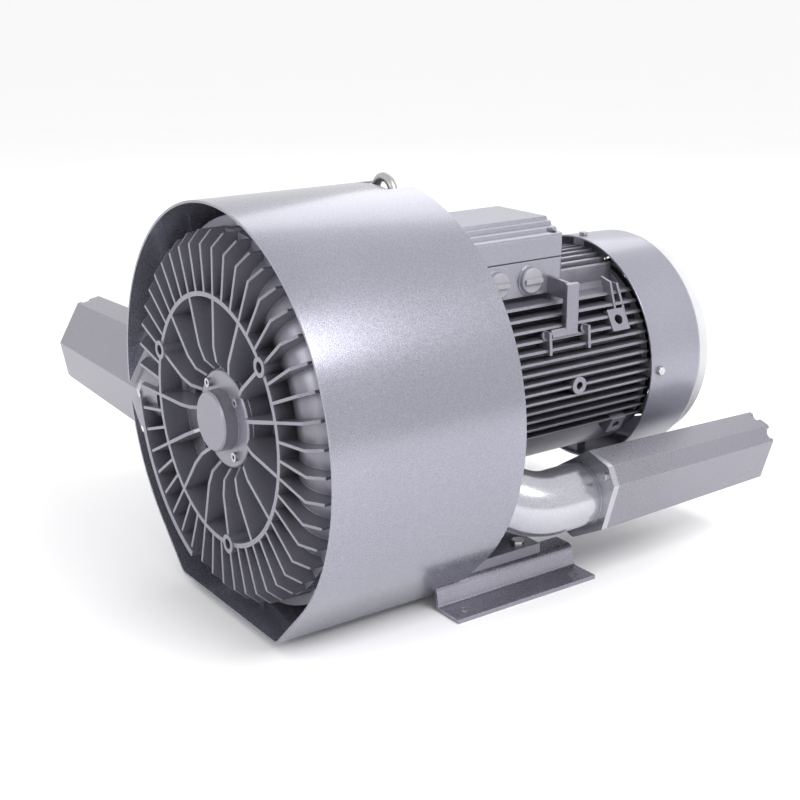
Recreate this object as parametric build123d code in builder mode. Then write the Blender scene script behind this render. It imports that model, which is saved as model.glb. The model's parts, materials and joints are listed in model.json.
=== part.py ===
from build123d import *
import os
from math import acos, atan2, cos, degrees, radians, sin, sqrt

os.makedirs("parts", exist_ok=True)

# ---------------------------------------------------------------------------
# Driving dimensions in millimetres.
# Stations are distances behind the shroud's front rim, along the machine axis.
# The origin is on the floor, in the middle of the four foot bolt holes.
# Heights above the axis are written as such; the axis runs along Y.
# ---------------------------------------------------------------------------
axis_height = 226.0
clearance = 0.3

# feet
hole_spacing_x = 300.0
hole_spacing_y = 156.0
foot_hole_r = 5.5
rail_sheet = 5.0
rail_front = 193.5
rail_length = 198.0
rail_height = 29.0
rail_outer_x = 166.0
rail_web_foot_x = 130.0
rail_web_top_x = 125.0
rail_top_inner_x = 97.0
rail_bend_r = 3.0
foot_mid_station = rail_front + rail_length / 2
foot_outer_x = 121.0
foot_inner_x = 76.0
foot_pad_t = 12.0
foot_rear = 345.0
foot_bolt_x = 108.0
foot_bolt_stations = (246.0, 322.0)

# shroud
shroud_r = 230.0
shroud_length = 230.0
shroud_sheet = 2.5
shroud_drop = 216.0
shroud_corner_r = 16.0
tab_angles = (48.0, 146.0, 212.0, 328.0)
tab_width = 24.0
tab_t = 3.0
tab_inner_r = 200.5
tab_screw_r = 205.0
eye_notch_width = 62.0
eye_notch_front = 199.0
inlet_window_gap = 4.0
rail_slot_half = 9.0

# air channels of the two stages
stage_1 = 52.0
stage_pitch = 118.0
channel_mid_r = 160.0
channel_r = 35.0
channel_wall = 5.0
wall_t = 8.0
cover_r = 200.0
flange_r = 211.0
flange_t = 8.0
flange_bolt_pcd_r = 205.5
flange_bolt_count = 10
first_flange_bolt = 20.1
stripper_1 = (187.0, 247.0)
stripper_2 = (262.0, 312.0)
channel_end_wall = 2.0
crossover_angle = 254.5
crossover_r = 16.0
crossover_wall = 7.0
casing_fin_r = 221.0
casing_fin_count = 30
casing_fin_t = 4.0

# impellers
impeller_r = 195.0
impeller_half_width = 16.0
impeller_gap = 1.0
blade_root_r = 124.0
blade_count = 36
blade_t = 3.0
disc_r = 120.5
disc_half = 5.0
disc_gap = 2.0
room_step_r = 114.5
hub_half = 14.0
impeller_hub_r = 30.0
hub_gap = 3.0
key_size = 6.0
key_length = 24.0

# front cover ribs, ring and hub
rib_face = -3.0
rib_ring_r = 134.5
rib_ring_t = 5.0
outer_rib_count = 45
inner_rib_count = 15
first_rib_angle = 14.1
outer_rib_t = 3.2
inner_rib_t = 4.0
rib_corner_r = 186.5
rib_corner_drop = 13.5
inner_rib_shoulder_r = 81.0
inner_rib_knee_r = 64.6
stripper_rim_t = 7.0
ring_boss_angles = (38.2, 158.2, 278.2)
ring_boss_r = 10.5
ring_boss_bore_r = 5.8
ring_boss_proud = 2.0
ring_boss_depth = 16.0
hub_r = 54.0
hub_face = 14.0

# bearing cap
cap_face = -8.5
cap_r = 32.5
cap_flange_r = 53.0
cap_flange_t = 6.0
cap_hollow_r = 25.0
cap_screw_pcd_r = 43.5
cap_screw_angle = 38.0

# shaft, bearings and fits
fit = 0.05
journal_r = 15.0
seat_r = 17.0
motor_journal_r = 20.0
motor_shaft_r = 24.0
fan_seat_r = 12.0
shaft_front = 4.0
front_bearing_station = 16.0
front_bearing_w = 16.0
front_bearing_r = 31.0
motor_bearing_w = 18.0
motor_bearing_r = 40.0
nut_r = 22.0
nut_t = 7.0
spacer_r = 22.0
sleeve_r = 23.0
seal_bore_r = 28.0
seal_t = 8.0

# motor
shield_front = 230.0
shield_t = 16.0
shield_r = 144.0
shield_hub_r = 50.0
shield_bolt_pcd_r = 136.5
drum_r = 126.0
drum_wall = 8.0
drum_flange_t = 10.0
motor_rear = 500.0
frame_bore_r = 104.0
frame_r = 112.0
fin_tip_r = 129.0
fin_pitch = 11.2
fin_t = 2.8
low_fin_limit = 60.0
belly_r = 118.0
stator_front = 290.0
stator_length = 160.0
air_gap = 0.5
rotor_r = 67.0
winding_overhang = 22.0
winding_inner_r = 73.0
winding_outer_r = 98.0
rear_bearing_station = 484.0
rear_shield_t = 12.0

# cowl, fan and guard
cowl_front = 494.0
cowl_rear = 583.0
cowl_r = 140.0
cowl_taper = 2.0
cowl_sheet = 2.0
cowl_screw_station = 507.0
cowl_screw_angles = (0, 90, 180, 270)
fan_station = 520.0
fan_r = 112.0
fan_width = 38.0
fan_blade_count = 9
guard_r = 130.0
guard_depth = 15.0
guard_bar = 3.0
guard_ring_count = 7
guard_spoke_count = 12

# terminal box
box_front = 257.0
box_rear = 409.0
box_half_width = 75.5
box_foot = 98.0
box_seam = 139.0
box_wall = 4.0
box_floor_t = 6.0
box_gasket_t = 1.5
lid_eave = 163.0
lid_mid = 169.5
lid_top = 179.5
lid_mid_x = 61.5
lid_top_x = 44.0
lid_screw_inset = 10.0
plug_r = 14.5
plug_height = 116.0
plug_stations = (313.0, 360.0)

# outlet elbow and silencers
port_r = 170.0
port_face = 228.0
port_boss_r = 53.0
port_bore_r = 30.0
port_screw_pcd_r = 45.5
port_cut_gap = 1.5
pipe_r = 36.5
elbow_flange_t = 9.0
outlet_station = 368.0
outlet_x = 160.3
outlet_drop = 116.3
elbow_bend_r = 70.0
gasket_t = 1.5
end_flange_t = 7.5
silencer_half_width = 46.0
silencer_half_height = 56.5
silencer_length = 258.0
silencer_taper = 0.89
silencer_wall = 5.0
small_chamfer = 16.0
lower_chamfer = 38.0
upper_chamfer_x = 42.0
upper_chamfer_y = 50.0
heel_chamfer = 10.0
outlet_roll = -17.0
inlet_roll = 10.0
inlet_station = 48.0
inlet_drop = 17.0
inlet_face_x = 205.0
inlet_boss_r = 44.0
inlet_bore_depth = 30.0
inlet_neck_length = 6.0
neck_bore_r = 25.0
thread_r = 28.3
thread_length = 24.0
thread_boss_r = 34.5
liner_r = 30.0
passage_r = 22.0
silencer_screw_spots = ((-30.0, 44.0), (26.0, -48.0), (40.5, -13.0))
silencer_pockets = ((-38.5, 49.0), (-8.0, 59.0), (-29.0, -40.0), (42.0, -52.0))

# lifting eye
eye_station = 215.0
eye_ring_r = 17.5
eye_wire_r = 5.0
eye_seat = 194.0
eye_collar_r = 11.0
eye_collar_t = 4.0
eye_shank_r = 5.0
eye_shank_length = 20.0
eye_boss_r = 15.0

# values that follow from those above
stage_2 = stage_1 + stage_pitch
port_angle = -degrees(atan2(outlet_drop, outlet_x))
first_shield_bolt = port_angle + 22.5
port_boss_front = stage_2 + flange_t
impeller_room = impeller_half_width + impeller_gap
disc_room = disc_half + disc_gap
hub_room_r = impeller_hub_r + hub_gap
shield_rear = shield_front + shield_t
wall_step_r = room_step_r - wall_t
drive_bearing_station = shield_front + 6.0
foot_top = rail_height - axis_height
thread_hole_r = 2.5
machine_axis = Axis((0, 0, axis_height), (0, 1, 0))


def along(station):
    """Y of a station."""
    return station - foot_mid_station


def across(station):
    """Plane square to the machine axis: local x right, local y up, normal to the front."""
    return Plane(origin=(0, along(station), axis_height), x_dir=(1, 0, 0), z_dir=(0, -1, 0))


def through(angle):
    """Half plane through the machine axis: local x is Y, local y runs outwards at an angle."""
    tilt = radians(angle)
    return Plane(origin=(0, 0, axis_height), x_dir=(0, 1, 0), z_dir=(sin(tilt), 0, -cos(tilt)))


def level(height):
    """Horizontal plane at a height above the machine axis."""
    return Plane.XY.offset(axis_height + height)


def at(radius, angle):
    """Local x and y of a point at a radius and angle about the axis."""
    return radius * cos(radians(angle)), radius * sin(radians(angle))


def section(*corners):
    """Closed face with (station, radius) corners above the axis."""
    with BuildSketch(through(90)) as face:
        with BuildLine():
            Polyline([(along(station), radius) for station, radius in corners], close=True)
        make_face()
    return face.sketch


def ring(front, rear, inner, outer):
    """Rectangular ring section between two stations and two radii."""
    return section((front, inner), (front, outer), (rear, outer), (rear, inner))


def half_disc(station, radius, side, angle):
    """Half of a channel's round section, in front of its stage plane (-1) or behind it (1)."""
    with BuildSketch(through(angle)) as face:
        with Locations((along(station), channel_mid_r)):
            Circle(radius)
            Rectangle(
                2 * radius,
                2 * radius,
                align=(Align.MIN if side < 0 else Align.MAX, Align.CENTER),
                mode=Mode.SUBTRACT,
            )
    return face.sketch


def torus_half(station, radius, side, stripper, end_wall):
    """Half torus of an air channel round the axis, except at its stripper."""
    start = stripper[0] - end_wall
    arc = 360 - (stripper[1] - stripper[0]) - 2 * end_wall
    return revolve(
        half_disc(station, radius, side, start), machine_axis, arc, mode=Mode.PRIVATE
    )


def inlet_half(side):
    """Half of the round inlet boss, in front of the first joint (-1) or behind it (1)."""
    split_x = inlet_station - stage_1
    with BuildSketch(inlet_boss_plane) as face:
        Circle(inlet_boss_r)
        with Locations((split_x, 0)):
            Rectangle(
                2 * inlet_boss_r,
                2 * inlet_boss_r,
                align=(Align.MAX if side < 0 else Align.MIN, Align.CENTER),
                mode=Mode.SUBTRACT,
            )
    return extrude(face.sketch, amount=-inlet_boss_r, mode=Mode.PRIVATE)


def around(piece, angles):
    """Copies of a piece made at the top, turned to angles about the axis."""
    return [piece.rotate(machine_axis, 90 - angle) for angle in angles]


def spaced(count, first=0.0):
    """Evenly spaced angles."""
    return [first + 360 / count * index for index in range(count)]


def boss_plane(angle, station, radius):
    """Plane facing outwards at an angle, a station and a radius."""
    x, z = at(radius, angle)
    return Plane(
        origin=(x, along(station), axis_height + z), x_dir=(0, 1, 0), z_dir=(x, 0, z)
    )


def finish(builder, name):
    """Labels a piece and writes its file."""
    builder.part.label = name
    export_step(builder.part, f"parts/{name}.step")


def socket_screw(radius, length, head_r, head_t):
    """Cap screw along +Z from its seat at the origin, with the head above and a hexagon socket."""
    with BuildPart() as screw:
        Cylinder(radius, length, align=(Align.CENTER, Align.CENTER, Align.MAX))
        Cylinder(head_r, head_t, align=(Align.CENTER, Align.CENTER, Align.MIN))
        with BuildSketch(Plane.XY.offset(head_t)):
            RegularPolygon(head_r * 0.5, 6)
        extrude(amount=-head_t * 0.5, mode=Mode.SUBTRACT)
    return screw.part


def hex_screw(radius, length, head_r, head_t):
    """Hexagon screw along +Z from its seat at the origin, with a chamfered head above."""
    with BuildPart() as screw:
        with BuildSketch():
            RegularPolygon(head_r, 6)
        extrude(amount=head_t)
        chamfer(screw.faces().sort_by(Axis.Z)[-1].edges(), head_t * 0.12)
        Cylinder(radius, length, align=(Align.CENTER, Align.CENTER, Align.MAX))
    return screw.part


def placed(piece, plane, spots):
    """Copies of a piece whose own +Z becomes the plane's normal, at spots on that plane."""
    return [plane.location * Location((x, y, 0)) * piece for x, y in spots]


def save_set(pieces, name):
    """Writes several equal pieces as one node."""
    with BuildPart() as group:
        add(pieces)
    finish(group, name)


def octagon(scale, inset):
    """Silencer outline: a rectangle with four different corner cuts, shrunk by an inset."""
    half_x = silencer_half_width - inset
    half_y = silencer_half_height - inset
    trim = inset * (2 - sqrt(2))
    corners = (
        (half_x, half_y, upper_chamfer_x, upper_chamfer_y),
        (-half_x, half_y, small_chamfer, small_chamfer),
        (-half_x, -half_y, lower_chamfer, lower_chamfer),
        (half_x, -half_y, heel_chamfer, heel_chamfer),
    )
    points = []
    for index, (x, y, cut_x, cut_y) in enumerate(corners):
        along_x = (x - (cut_x - trim) * (1 if x > 0 else -1), y)
        along_y = (x, y - (cut_y - trim) * (1 if y > 0 else -1))
        points += [along_y, along_x] if index % 2 == 0 else [along_x, along_y]
    return [(x * scale, y * scale) for x, y in points]


def silencer_face(plane, scale, inset):
    """Face of the silencer outline on a plane."""
    with BuildSketch(plane) as face:
        with BuildLine():
            Polyline(octagon(scale, inset), close=True)
        make_face()
    return face.sketch


# ---------------------------------------------------------------------------
# Mounting planes of the two silencers. Each normal points away from its port.
# ---------------------------------------------------------------------------
outlet_plane = Plane(
    origin=(outlet_x, along(outlet_station), axis_height - outlet_drop),
    x_dir=(-cos(radians(outlet_roll)), 0, -sin(radians(outlet_roll))),
    z_dir=(0, 1, 0),
)
inlet_plane = Plane(
    origin=(-inlet_face_x, along(inlet_station), axis_height - inlet_drop),
    x_dir=(0, -cos(radians(inlet_roll)), -sin(radians(inlet_roll))),
    z_dir=(-1, 0, 0),
)
inlet_boss_plane = Plane(origin=inlet_plane.origin, x_dir=(0, -1, 0), z_dir=(-1, 0, 0))
port_x, port_y = at(port_r, port_angle)
port_plane = Plane(
    origin=(port_x, along(port_face), axis_height + port_y),
    x_dir=(cos(radians(port_angle)), 0, sin(radians(port_angle))),
    z_dir=(0, 1, 0),
)


# ---------------------------------------------------------------------------
# Shroud: a thin open sheet sleeve, round down to 45 degrees below the axis,
# then straight to rounded corners and a flat bottom. Tabs near its front
# screw to the casing. It is notched for the lifting eye, windowed for the
# inlet silencer and slotted for the two foot rails.
# ---------------------------------------------------------------------------
diagonal = shroud_r / sqrt(2)
corner_x = shroud_r * sqrt(2) - shroud_drop
tab_front = stage_1 - flange_t - tab_t
slot_x = rail_web_top_x - 1.0

with BuildPart() as shroud:
    with BuildSketch(across(0)) as sleeve:
        Circle(shroud_r)
        with Locations((0, -diagonal)):
            Rectangle(2 * shroud_r, shroud_r, align=(Align.CENTER, Align.MAX), mode=Mode.SUBTRACT)
        with BuildLine():
            Polyline(
                (diagonal, -diagonal),
                (corner_x, -shroud_drop),
                (-corner_x, -shroud_drop),
                (-diagonal, -diagonal),
                close=True,
            )
        make_face()
        fillet(sleeve.vertices().group_by(Axis.Y)[0], shroud_corner_r)
        offset(amount=-shroud_sheet, mode=Mode.SUBTRACT)
    extrude(amount=-shroud_length)
    # tabs in front of the joint flange
    with BuildSketch(across(tab_front)):
        for angle in tab_angles:
            with Locations(Location((*at(shroud_r - shroud_sheet / 2, angle), 0), (0, 0, angle))):
                Rectangle(
                    shroud_r - shroud_sheet / 2 - tab_inner_r,
                    tab_width,
                    align=(Align.MAX, Align.CENTER),
                )
    extrude(amount=-tab_t)
    with BuildSketch(across(tab_front)):
        with Locations([at(tab_screw_r, angle) for angle in tab_angles]):
            Circle(thread_hole_r + clearance)
    extrude(amount=-tab_t, mode=Mode.SUBTRACT)
    # notch round the lifting eye, open to the rear rim
    with BuildSketch(level(shroud_r)):
        with Locations((0, along(eye_notch_front))):
            Rectangle(
                eye_notch_width,
                shroud_length,
                align=(Align.CENTER, Align.MIN),
            )
    extrude(amount=-shroud_r / 2, mode=Mode.SUBTRACT)
    # window round the inlet silencer
    add(
        extrude(
            silencer_face(inlet_plane, 1.0, -inlet_window_gap),
            amount=silencer_length / 2,
            mode=Mode.PRIVATE,
        ),
        mode=Mode.SUBTRACT,
    )
    # slots for the rail webs in the sloping faces, open to the rear rim
    for side in (1, -1):
        slot_plane = Plane(
            origin=(side * slot_x, along(rail_front), axis_height + slot_x - shroud_r * sqrt(2)),
            x_dir=(0, 1, 0),
            z_dir=(side, 0, -1),
        )
        with BuildSketch(slot_plane):
            with Locations((-1.0, 0)):
                Rectangle(shroud_length, 2 * rail_slot_half, align=(Align.MIN, Align.CENTER))
        extrude(amount=rail_sheet, both=True, mode=Mode.SUBTRACT)
finish(shroud, "shroud")


# the casings are cut flat where the inlet silencer seats
inlet_seat = extrude(
    silencer_face(inlet_plane, 1.0, -2.0), amount=casing_fin_r - cover_r, mode=Mode.PRIVATE
)


# ---------------------------------------------------------------------------
# Front cover: the outer half of the first stage. A torus bulge covers the
# channel except at its stripper. Radial ribs, a ring and three bosses stiffen
# it, and its hub holds the front bearing.
# ---------------------------------------------------------------------------
bearing_rear = front_bearing_station + front_bearing_w
room_front = stage_1 - impeller_room
rib_back = room_front - wall_t / 2
skin_r = cover_r - 1.0
outer_rib_angles = spaced(outer_rib_count, first_rib_angle)
inner_rib_angles = spaced(inner_rib_count, first_rib_angle)
flange_bolt_angles = spaced(flange_bolt_count, first_flange_bolt)

with BuildPart() as outer_rib:
    add(
        extrude(
            section(
                (rib_face, rib_ring_r),
                (rib_face, rib_corner_r),
                (rib_face + rib_corner_drop, cover_r),
                (stage_1 - flange_t, cover_r),
                (rib_back, rib_ring_r),
            ),
            amount=outer_rib_t / 2,
            both=True,
            mode=Mode.PRIVATE,
        )
    )

with BuildPart() as inner_rib:
    add(
        extrude(
            section(
                (rib_face, rib_ring_r),
                (rib_face, inner_rib_shoulder_r),
                (rib_face + 3.0, inner_rib_knee_r),
                (hub_face - 5.0, hub_r),
                (hub_face + 2.0, hub_r),
                (hub_face + 2.0, hub_r - 2.0),
                (stage_1 - disc_room - 2.0, hub_r - 2.0),
                (stage_1 - disc_room - 2.0, rib_ring_r),
            ),
            amount=inner_rib_t / 2,
            both=True,
            mode=Mode.PRIVATE,
        )
    )

with BuildPart() as rib_wheel:
    # ring on which the ribs meet, and a rim that links them over the stripper
    revolve(
        ring(rib_face, rib_back, rib_ring_r - rib_ring_t / 2, rib_ring_r + rib_ring_t / 2),
        machine_axis,
    )
    add(around(outer_rib.part, outer_rib_angles))
    add(around(inner_rib.part, inner_rib_angles))
    revolve(
        ring(rib_face, rib_back, skin_r - stripper_rim_t, skin_r).rotate(
            machine_axis, 90 - stripper_1[1]
        ),
        machine_axis,
        revolution_arc=stripper_1[1] - stripper_1[0],
    )
    with BuildSketch(across(rib_face - ring_boss_proud)):
        with Locations([at(rib_ring_r, angle) for angle in ring_boss_angles]):
            Circle(ring_boss_r)
    extrude(amount=rib_face - ring_boss_proud - rib_back)

with BuildPart() as front_cavity:
    # air channel, room for the impeller, bearing bore with its shoulder, inlet bore
    revolve(
        section(
            (hub_face - 1.0, 0),
            (hub_face - 1.0, front_bearing_r + fit),
            (bearing_rear, front_bearing_r + fit),
            (bearing_rear, front_bearing_r - 5.0),
            (bearing_rear + 4.0, front_bearing_r - 5.0),
            (bearing_rear + 4.0, hub_room_r),
            (stage_1 - disc_room, hub_room_r),
            (stage_1 - disc_room, room_step_r),
            (room_front, room_step_r),
            (room_front, impeller_r + impeller_gap),
            (stage_1 + 1.0, impeller_r + impeller_gap),
            (stage_1 + 1.0, 0),
        ),
        machine_axis,
    )
    add(torus_half(stage_1, channel_r, -1, stripper_1, channel_end_wall))
    with BuildSketch(inlet_boss_plane):
        Circle(port_bore_r + fit)
    extrude(amount=-inlet_bore_depth)

with BuildPart() as front_cover:
    # hub, inner wall, outer wall and joint flange in one revolved section
    revolve(
        section(
            (hub_face, seat_r),
            (hub_face, hub_r),
            (stage_1 - disc_room - wall_t, hub_r),
            (stage_1 - disc_room - wall_t, wall_step_r),
            (room_front - wall_t, wall_step_r),
            (room_front - wall_t, skin_r),
            (stage_1 - flange_t, skin_r),
            (stage_1 - flange_t, flange_r),
            (stage_1, flange_r),
            (stage_1, seat_r),
        ),
        machine_axis,
    )
    add(torus_half(stage_1, channel_r + channel_wall, -1, stripper_1, 0.0))
    add(rib_wheel.part)
    add(inlet_half(-1))
    add(inlet_seat, mode=Mode.SUBTRACT)
    add(front_cavity.part, mode=Mode.SUBTRACT)
    with BuildSketch(across(hub_face)):
        with PolarLocations(cap_screw_pcd_r, 4, start_angle=cap_screw_angle):
            Circle(thread_hole_r)
    extrude(amount=-18.0, mode=Mode.SUBTRACT)
    with BuildSketch(across(rib_face - ring_boss_proud)):
        with Locations([at(rib_ring_r, angle) for angle in ring_boss_angles]):
            Circle(ring_boss_bore_r)
    extrude(amount=-ring_boss_depth, mode=Mode.SUBTRACT)
    with BuildSketch(across(stage_1)):
        with Locations([at(flange_bolt_pcd_r, angle) for angle in flange_bolt_angles]):
            Circle(3.0 + clearance)
        with Locations([at(tab_screw_r, angle) for angle in tab_angles]):
            Circle(thread_hole_r)
    extrude(amount=flange_t, mode=Mode.SUBTRACT)
finish(front_cover, "front_cover")


# ---------------------------------------------------------------------------
# Bearing cap with its lobed flange, screws and the front bearing behind it
# ---------------------------------------------------------------------------
cap_flange_front = hub_face - cap_flange_t

with BuildPart() as bearing_cap:
    revolve(
        section(
            (cap_face, 0),
            (cap_face, cap_r - 2.0),
            (cap_face + 2.0, cap_r),
            (cap_flange_front, cap_r + 0.6),
            (cap_flange_front, cap_flange_r - 1.5),
            (cap_flange_front + 1.5, cap_flange_r),
            (hub_face, cap_flange_r),
            (hub_face, front_bearing_r),
            (front_bearing_station, front_bearing_r),
            (front_bearing_station, cap_hollow_r),
            (cap_face + 5.0, cap_hollow_r),
            (cap_face + 5.0, 0),
        ),
        machine_axis,
    )
    with BuildSketch(across(hub_face)):
        with PolarLocations(cap_screw_pcd_r, 4, start_angle=cap_screw_angle):
            Circle(3.0 + clearance)
    extrude(amount=cap_flange_t + 2.0, mode=Mode.SUBTRACT)
finish(bearing_cap, "bearing_cap")

cap_screw = socket_screw(thread_hole_r - fit, 16.0, 5.0, 5.0)
save_set(
    placed(
        cap_screw,
        across(cap_flange_front),
        [at(cap_screw_pcd_r, cap_screw_angle + 90 * index) for index in range(4)],
    ),
    "bearing_cap_screws",
)


def save_bearing(front, width, bore_r, outer_r, name):
    """Sealed ball bearing: inner ring, outer ring and recessed seals as one solid."""
    step_t = (outer_r - bore_r) * 0.28
    seal_depth = 0.8
    with BuildPart() as bearing:
        revolve(
            section(
                (front, bore_r),
                (front, bore_r + step_t),
                (front + seal_depth, bore_r + step_t),
                (front + seal_depth, outer_r - step_t),
                (front, outer_r - step_t),
                (front, outer_r),
                (front + width, outer_r),
                (front + width, outer_r - step_t),
                (front + width - seal_depth, outer_r - step_t),
                (front + width - seal_depth, bore_r + step_t),
                (front + width, bore_r + step_t),
                (front + width, bore_r),
            ),
            machine_axis,
        )
    finish(bearing, name)


save_bearing(
    front_bearing_station, front_bearing_w, journal_r + fit, front_bearing_r, "front_bearing"
)
save_bearing(
    drive_bearing_station,
    motor_bearing_w,
    motor_journal_r + fit,
    motor_bearing_r,
    "drive_end_bearing",
)
save_bearing(
    rear_bearing_station,
    motor_bearing_w,
    motor_journal_r + fit,
    motor_bearing_r,
    "fan_end_bearing",
)


# ---------------------------------------------------------------------------
# Intermediate casing: rear half of stage one, front half of stage two and a
# finned waist between them, with the cross-over passage that joins the stages
# ---------------------------------------------------------------------------
wall_1 = stage_1 + disc_room
wall_2 = stage_2 - disc_room
bowl_1 = stage_1 + impeller_room
bowl_2 = stage_2 - impeller_room
hub_bore_r = sleeve_r + 3.0
hub_tube_r = hub_bore_r + 12.0

with BuildPart() as casing_fin:
    add(
        extrude(
            ring(stage_1 + flange_t, stage_2 - flange_t, hub_bore_r + 4.0, casing_fin_r),
            amount=casing_fin_t / 2,
            both=True,
            mode=Mode.PRIVATE,
        )
    )

with BuildPart() as middle_cavity:
    for stage, side in ((stage_1, 1), (stage_2, -1)):
        revolve(
            section(
                (stage - side, 0),
                (stage - side, impeller_r + impeller_gap),
                (stage + side * impeller_room, impeller_r + impeller_gap),
                (stage + side * impeller_room, room_step_r),
                (stage + side * disc_room, room_step_r),
                (stage + side * disc_room, hub_room_r),
                (stage + side * (hub_half + disc_gap), hub_room_r),
                (stage + side * (hub_half + disc_gap), 0),
            ),
            machine_axis,
        )
    add(torus_half(stage_1, channel_r, 1, stripper_1, channel_end_wall))
    add(torus_half(stage_2, channel_r, -1, stripper_2, channel_end_wall))
    with BuildSketch(across(stage_1 + impeller_half_width)):
        with Locations(at(channel_mid_r, crossover_angle)):
            Circle(crossover_r)
    extrude(amount=stage_1 - stage_2 + 2 * impeller_half_width)
    with BuildSketch(inlet_boss_plane):
        Circle(port_bore_r + fit)
    extrude(amount=-inlet_bore_depth)

with BuildPart() as intermediate_casing:
    revolve(
        section(
            (stage_1, hub_bore_r),
            (stage_1, flange_r),
            (stage_1 + flange_t, flange_r),
            (stage_1 + flange_t, cover_r),
            (bowl_1 + wall_t, cover_r),
            (bowl_1 + wall_t, wall_step_r),
            (wall_1 + wall_t, wall_step_r),
            (wall_1 + wall_t, hub_tube_r),
            (wall_2 - wall_t, hub_tube_r),
            (wall_2 - wall_t, wall_step_r),
            (bowl_2 - wall_t, wall_step_r),
            (bowl_2 - wall_t, cover_r),
            (stage_2 - flange_t, cover_r),
            (stage_2 - flange_t, flange_r),
            (stage_2, flange_r),
            (stage_2, hub_bore_r),
        ),
        machine_axis,
    )
    add(torus_half(stage_1, channel_r + channel_wall, 1, stripper_1, 0.0))
    add(torus_half(stage_2, channel_r + channel_wall, -1, stripper_2, 0.0))
    add(around(casing_fin.part, spaced(casing_fin_count, first_rib_angle)))
    # the lowest fins stop short of the shroud's flat bottom
    with BuildSketch(level(-flange_r)):
        with Locations((0, along(stage_1))):
            Rectangle(2 * shroud_r, stage_pitch, align=(Align.CENTER, Align.MIN))
    extrude(amount=-shroud_r / 4, mode=Mode.SUBTRACT)
    with BuildSketch(across(bowl_1)):
        with Locations(at(channel_mid_r, crossover_angle)):
            Circle(crossover_r + crossover_wall)
    extrude(amount=bowl_1 - bowl_2)
    add(inlet_half(1))
    add(inlet_seat, mode=Mode.SUBTRACT)
    # channels, impeller rooms and the passage between the stages
    add(middle_cavity.part, mode=Mode.SUBTRACT)
    with BuildSketch(across(stage_1)):
        with Locations([at(flange_bolt_pcd_r, angle) for angle in flange_bolt_angles]):
            Circle(3.0 + clearance)
        with Locations([at(tab_screw_r, angle) for angle in tab_angles]):
            Circle(thread_hole_r)
    extrude(amount=-flange_t, mode=Mode.SUBTRACT)
    with BuildSketch(across(stage_2)):
        with Locations([at(flange_bolt_pcd_r, angle) for angle in flange_bolt_angles]):
            Circle(3.0 + clearance)
    extrude(amount=flange_t, mode=Mode.SUBTRACT)
finish(intermediate_casing, "intermediate_casing")

shroud_screw = hex_screw(thread_hole_r - fit, tab_t + 12.0, 4.6, 3.5)
save_set(
    placed(shroud_screw, across(tab_front), [at(tab_screw_r, angle) for angle in tab_angles]),
    "shroud_screws",
)


# ---------------------------------------------------------------------------
# Rear casing: rear half of stage two, drum and flange for the motor, outlet
# boss, boss for the lifting eye and two long feet
# ---------------------------------------------------------------------------
wall_3 = stage_2 + disc_room
bowl_3 = stage_2 + impeller_room
seal_front = stage_2 + hub_half + disc_gap + 3.0
web_top = axis_height - drum_r + 16.0

with BuildPart() as rear_web:
    add(
        extrude(
            section(
                (bowl_3, drum_r - drum_wall / 2),
                (bowl_3, cover_r - 2.0),
                (bowl_3 + wall_t + 12.0, cover_r - 2.0),
                (shield_front - drum_flange_t, drum_r + 8.0),
                (shield_front - drum_flange_t, drum_r - drum_wall / 2),
            ),
            amount=casing_fin_t / 2,
            both=True,
            mode=Mode.PRIVATE,
        )
    )

with BuildPart() as rear_cavity:
    revolve(
        section(
            (stage_2 - 1.0, 0),
            (stage_2 - 1.0, impeller_r + impeller_gap),
            (bowl_3, impeller_r + impeller_gap),
            (bowl_3, room_step_r),
            (wall_3, room_step_r),
            (wall_3, hub_room_r),
            (seal_front - 3.0, hub_room_r),
            (seal_front - 3.0, seal_bore_r - 4.0),
            (seal_front, seal_bore_r - 4.0),
            (seal_front, seal_bore_r),
            (seal_front + seal_t + 1.0, seal_bore_r),
            (seal_front + seal_t + 1.0, 0),
        ),
        machine_axis,
    )
    add(torus_half(stage_2, channel_r, 1, stripper_2, channel_end_wall))
    with BuildSketch(port_plane):
        Circle(port_bore_r)
    extrude(amount=stage_2 + impeller_half_width - port_face)

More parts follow.
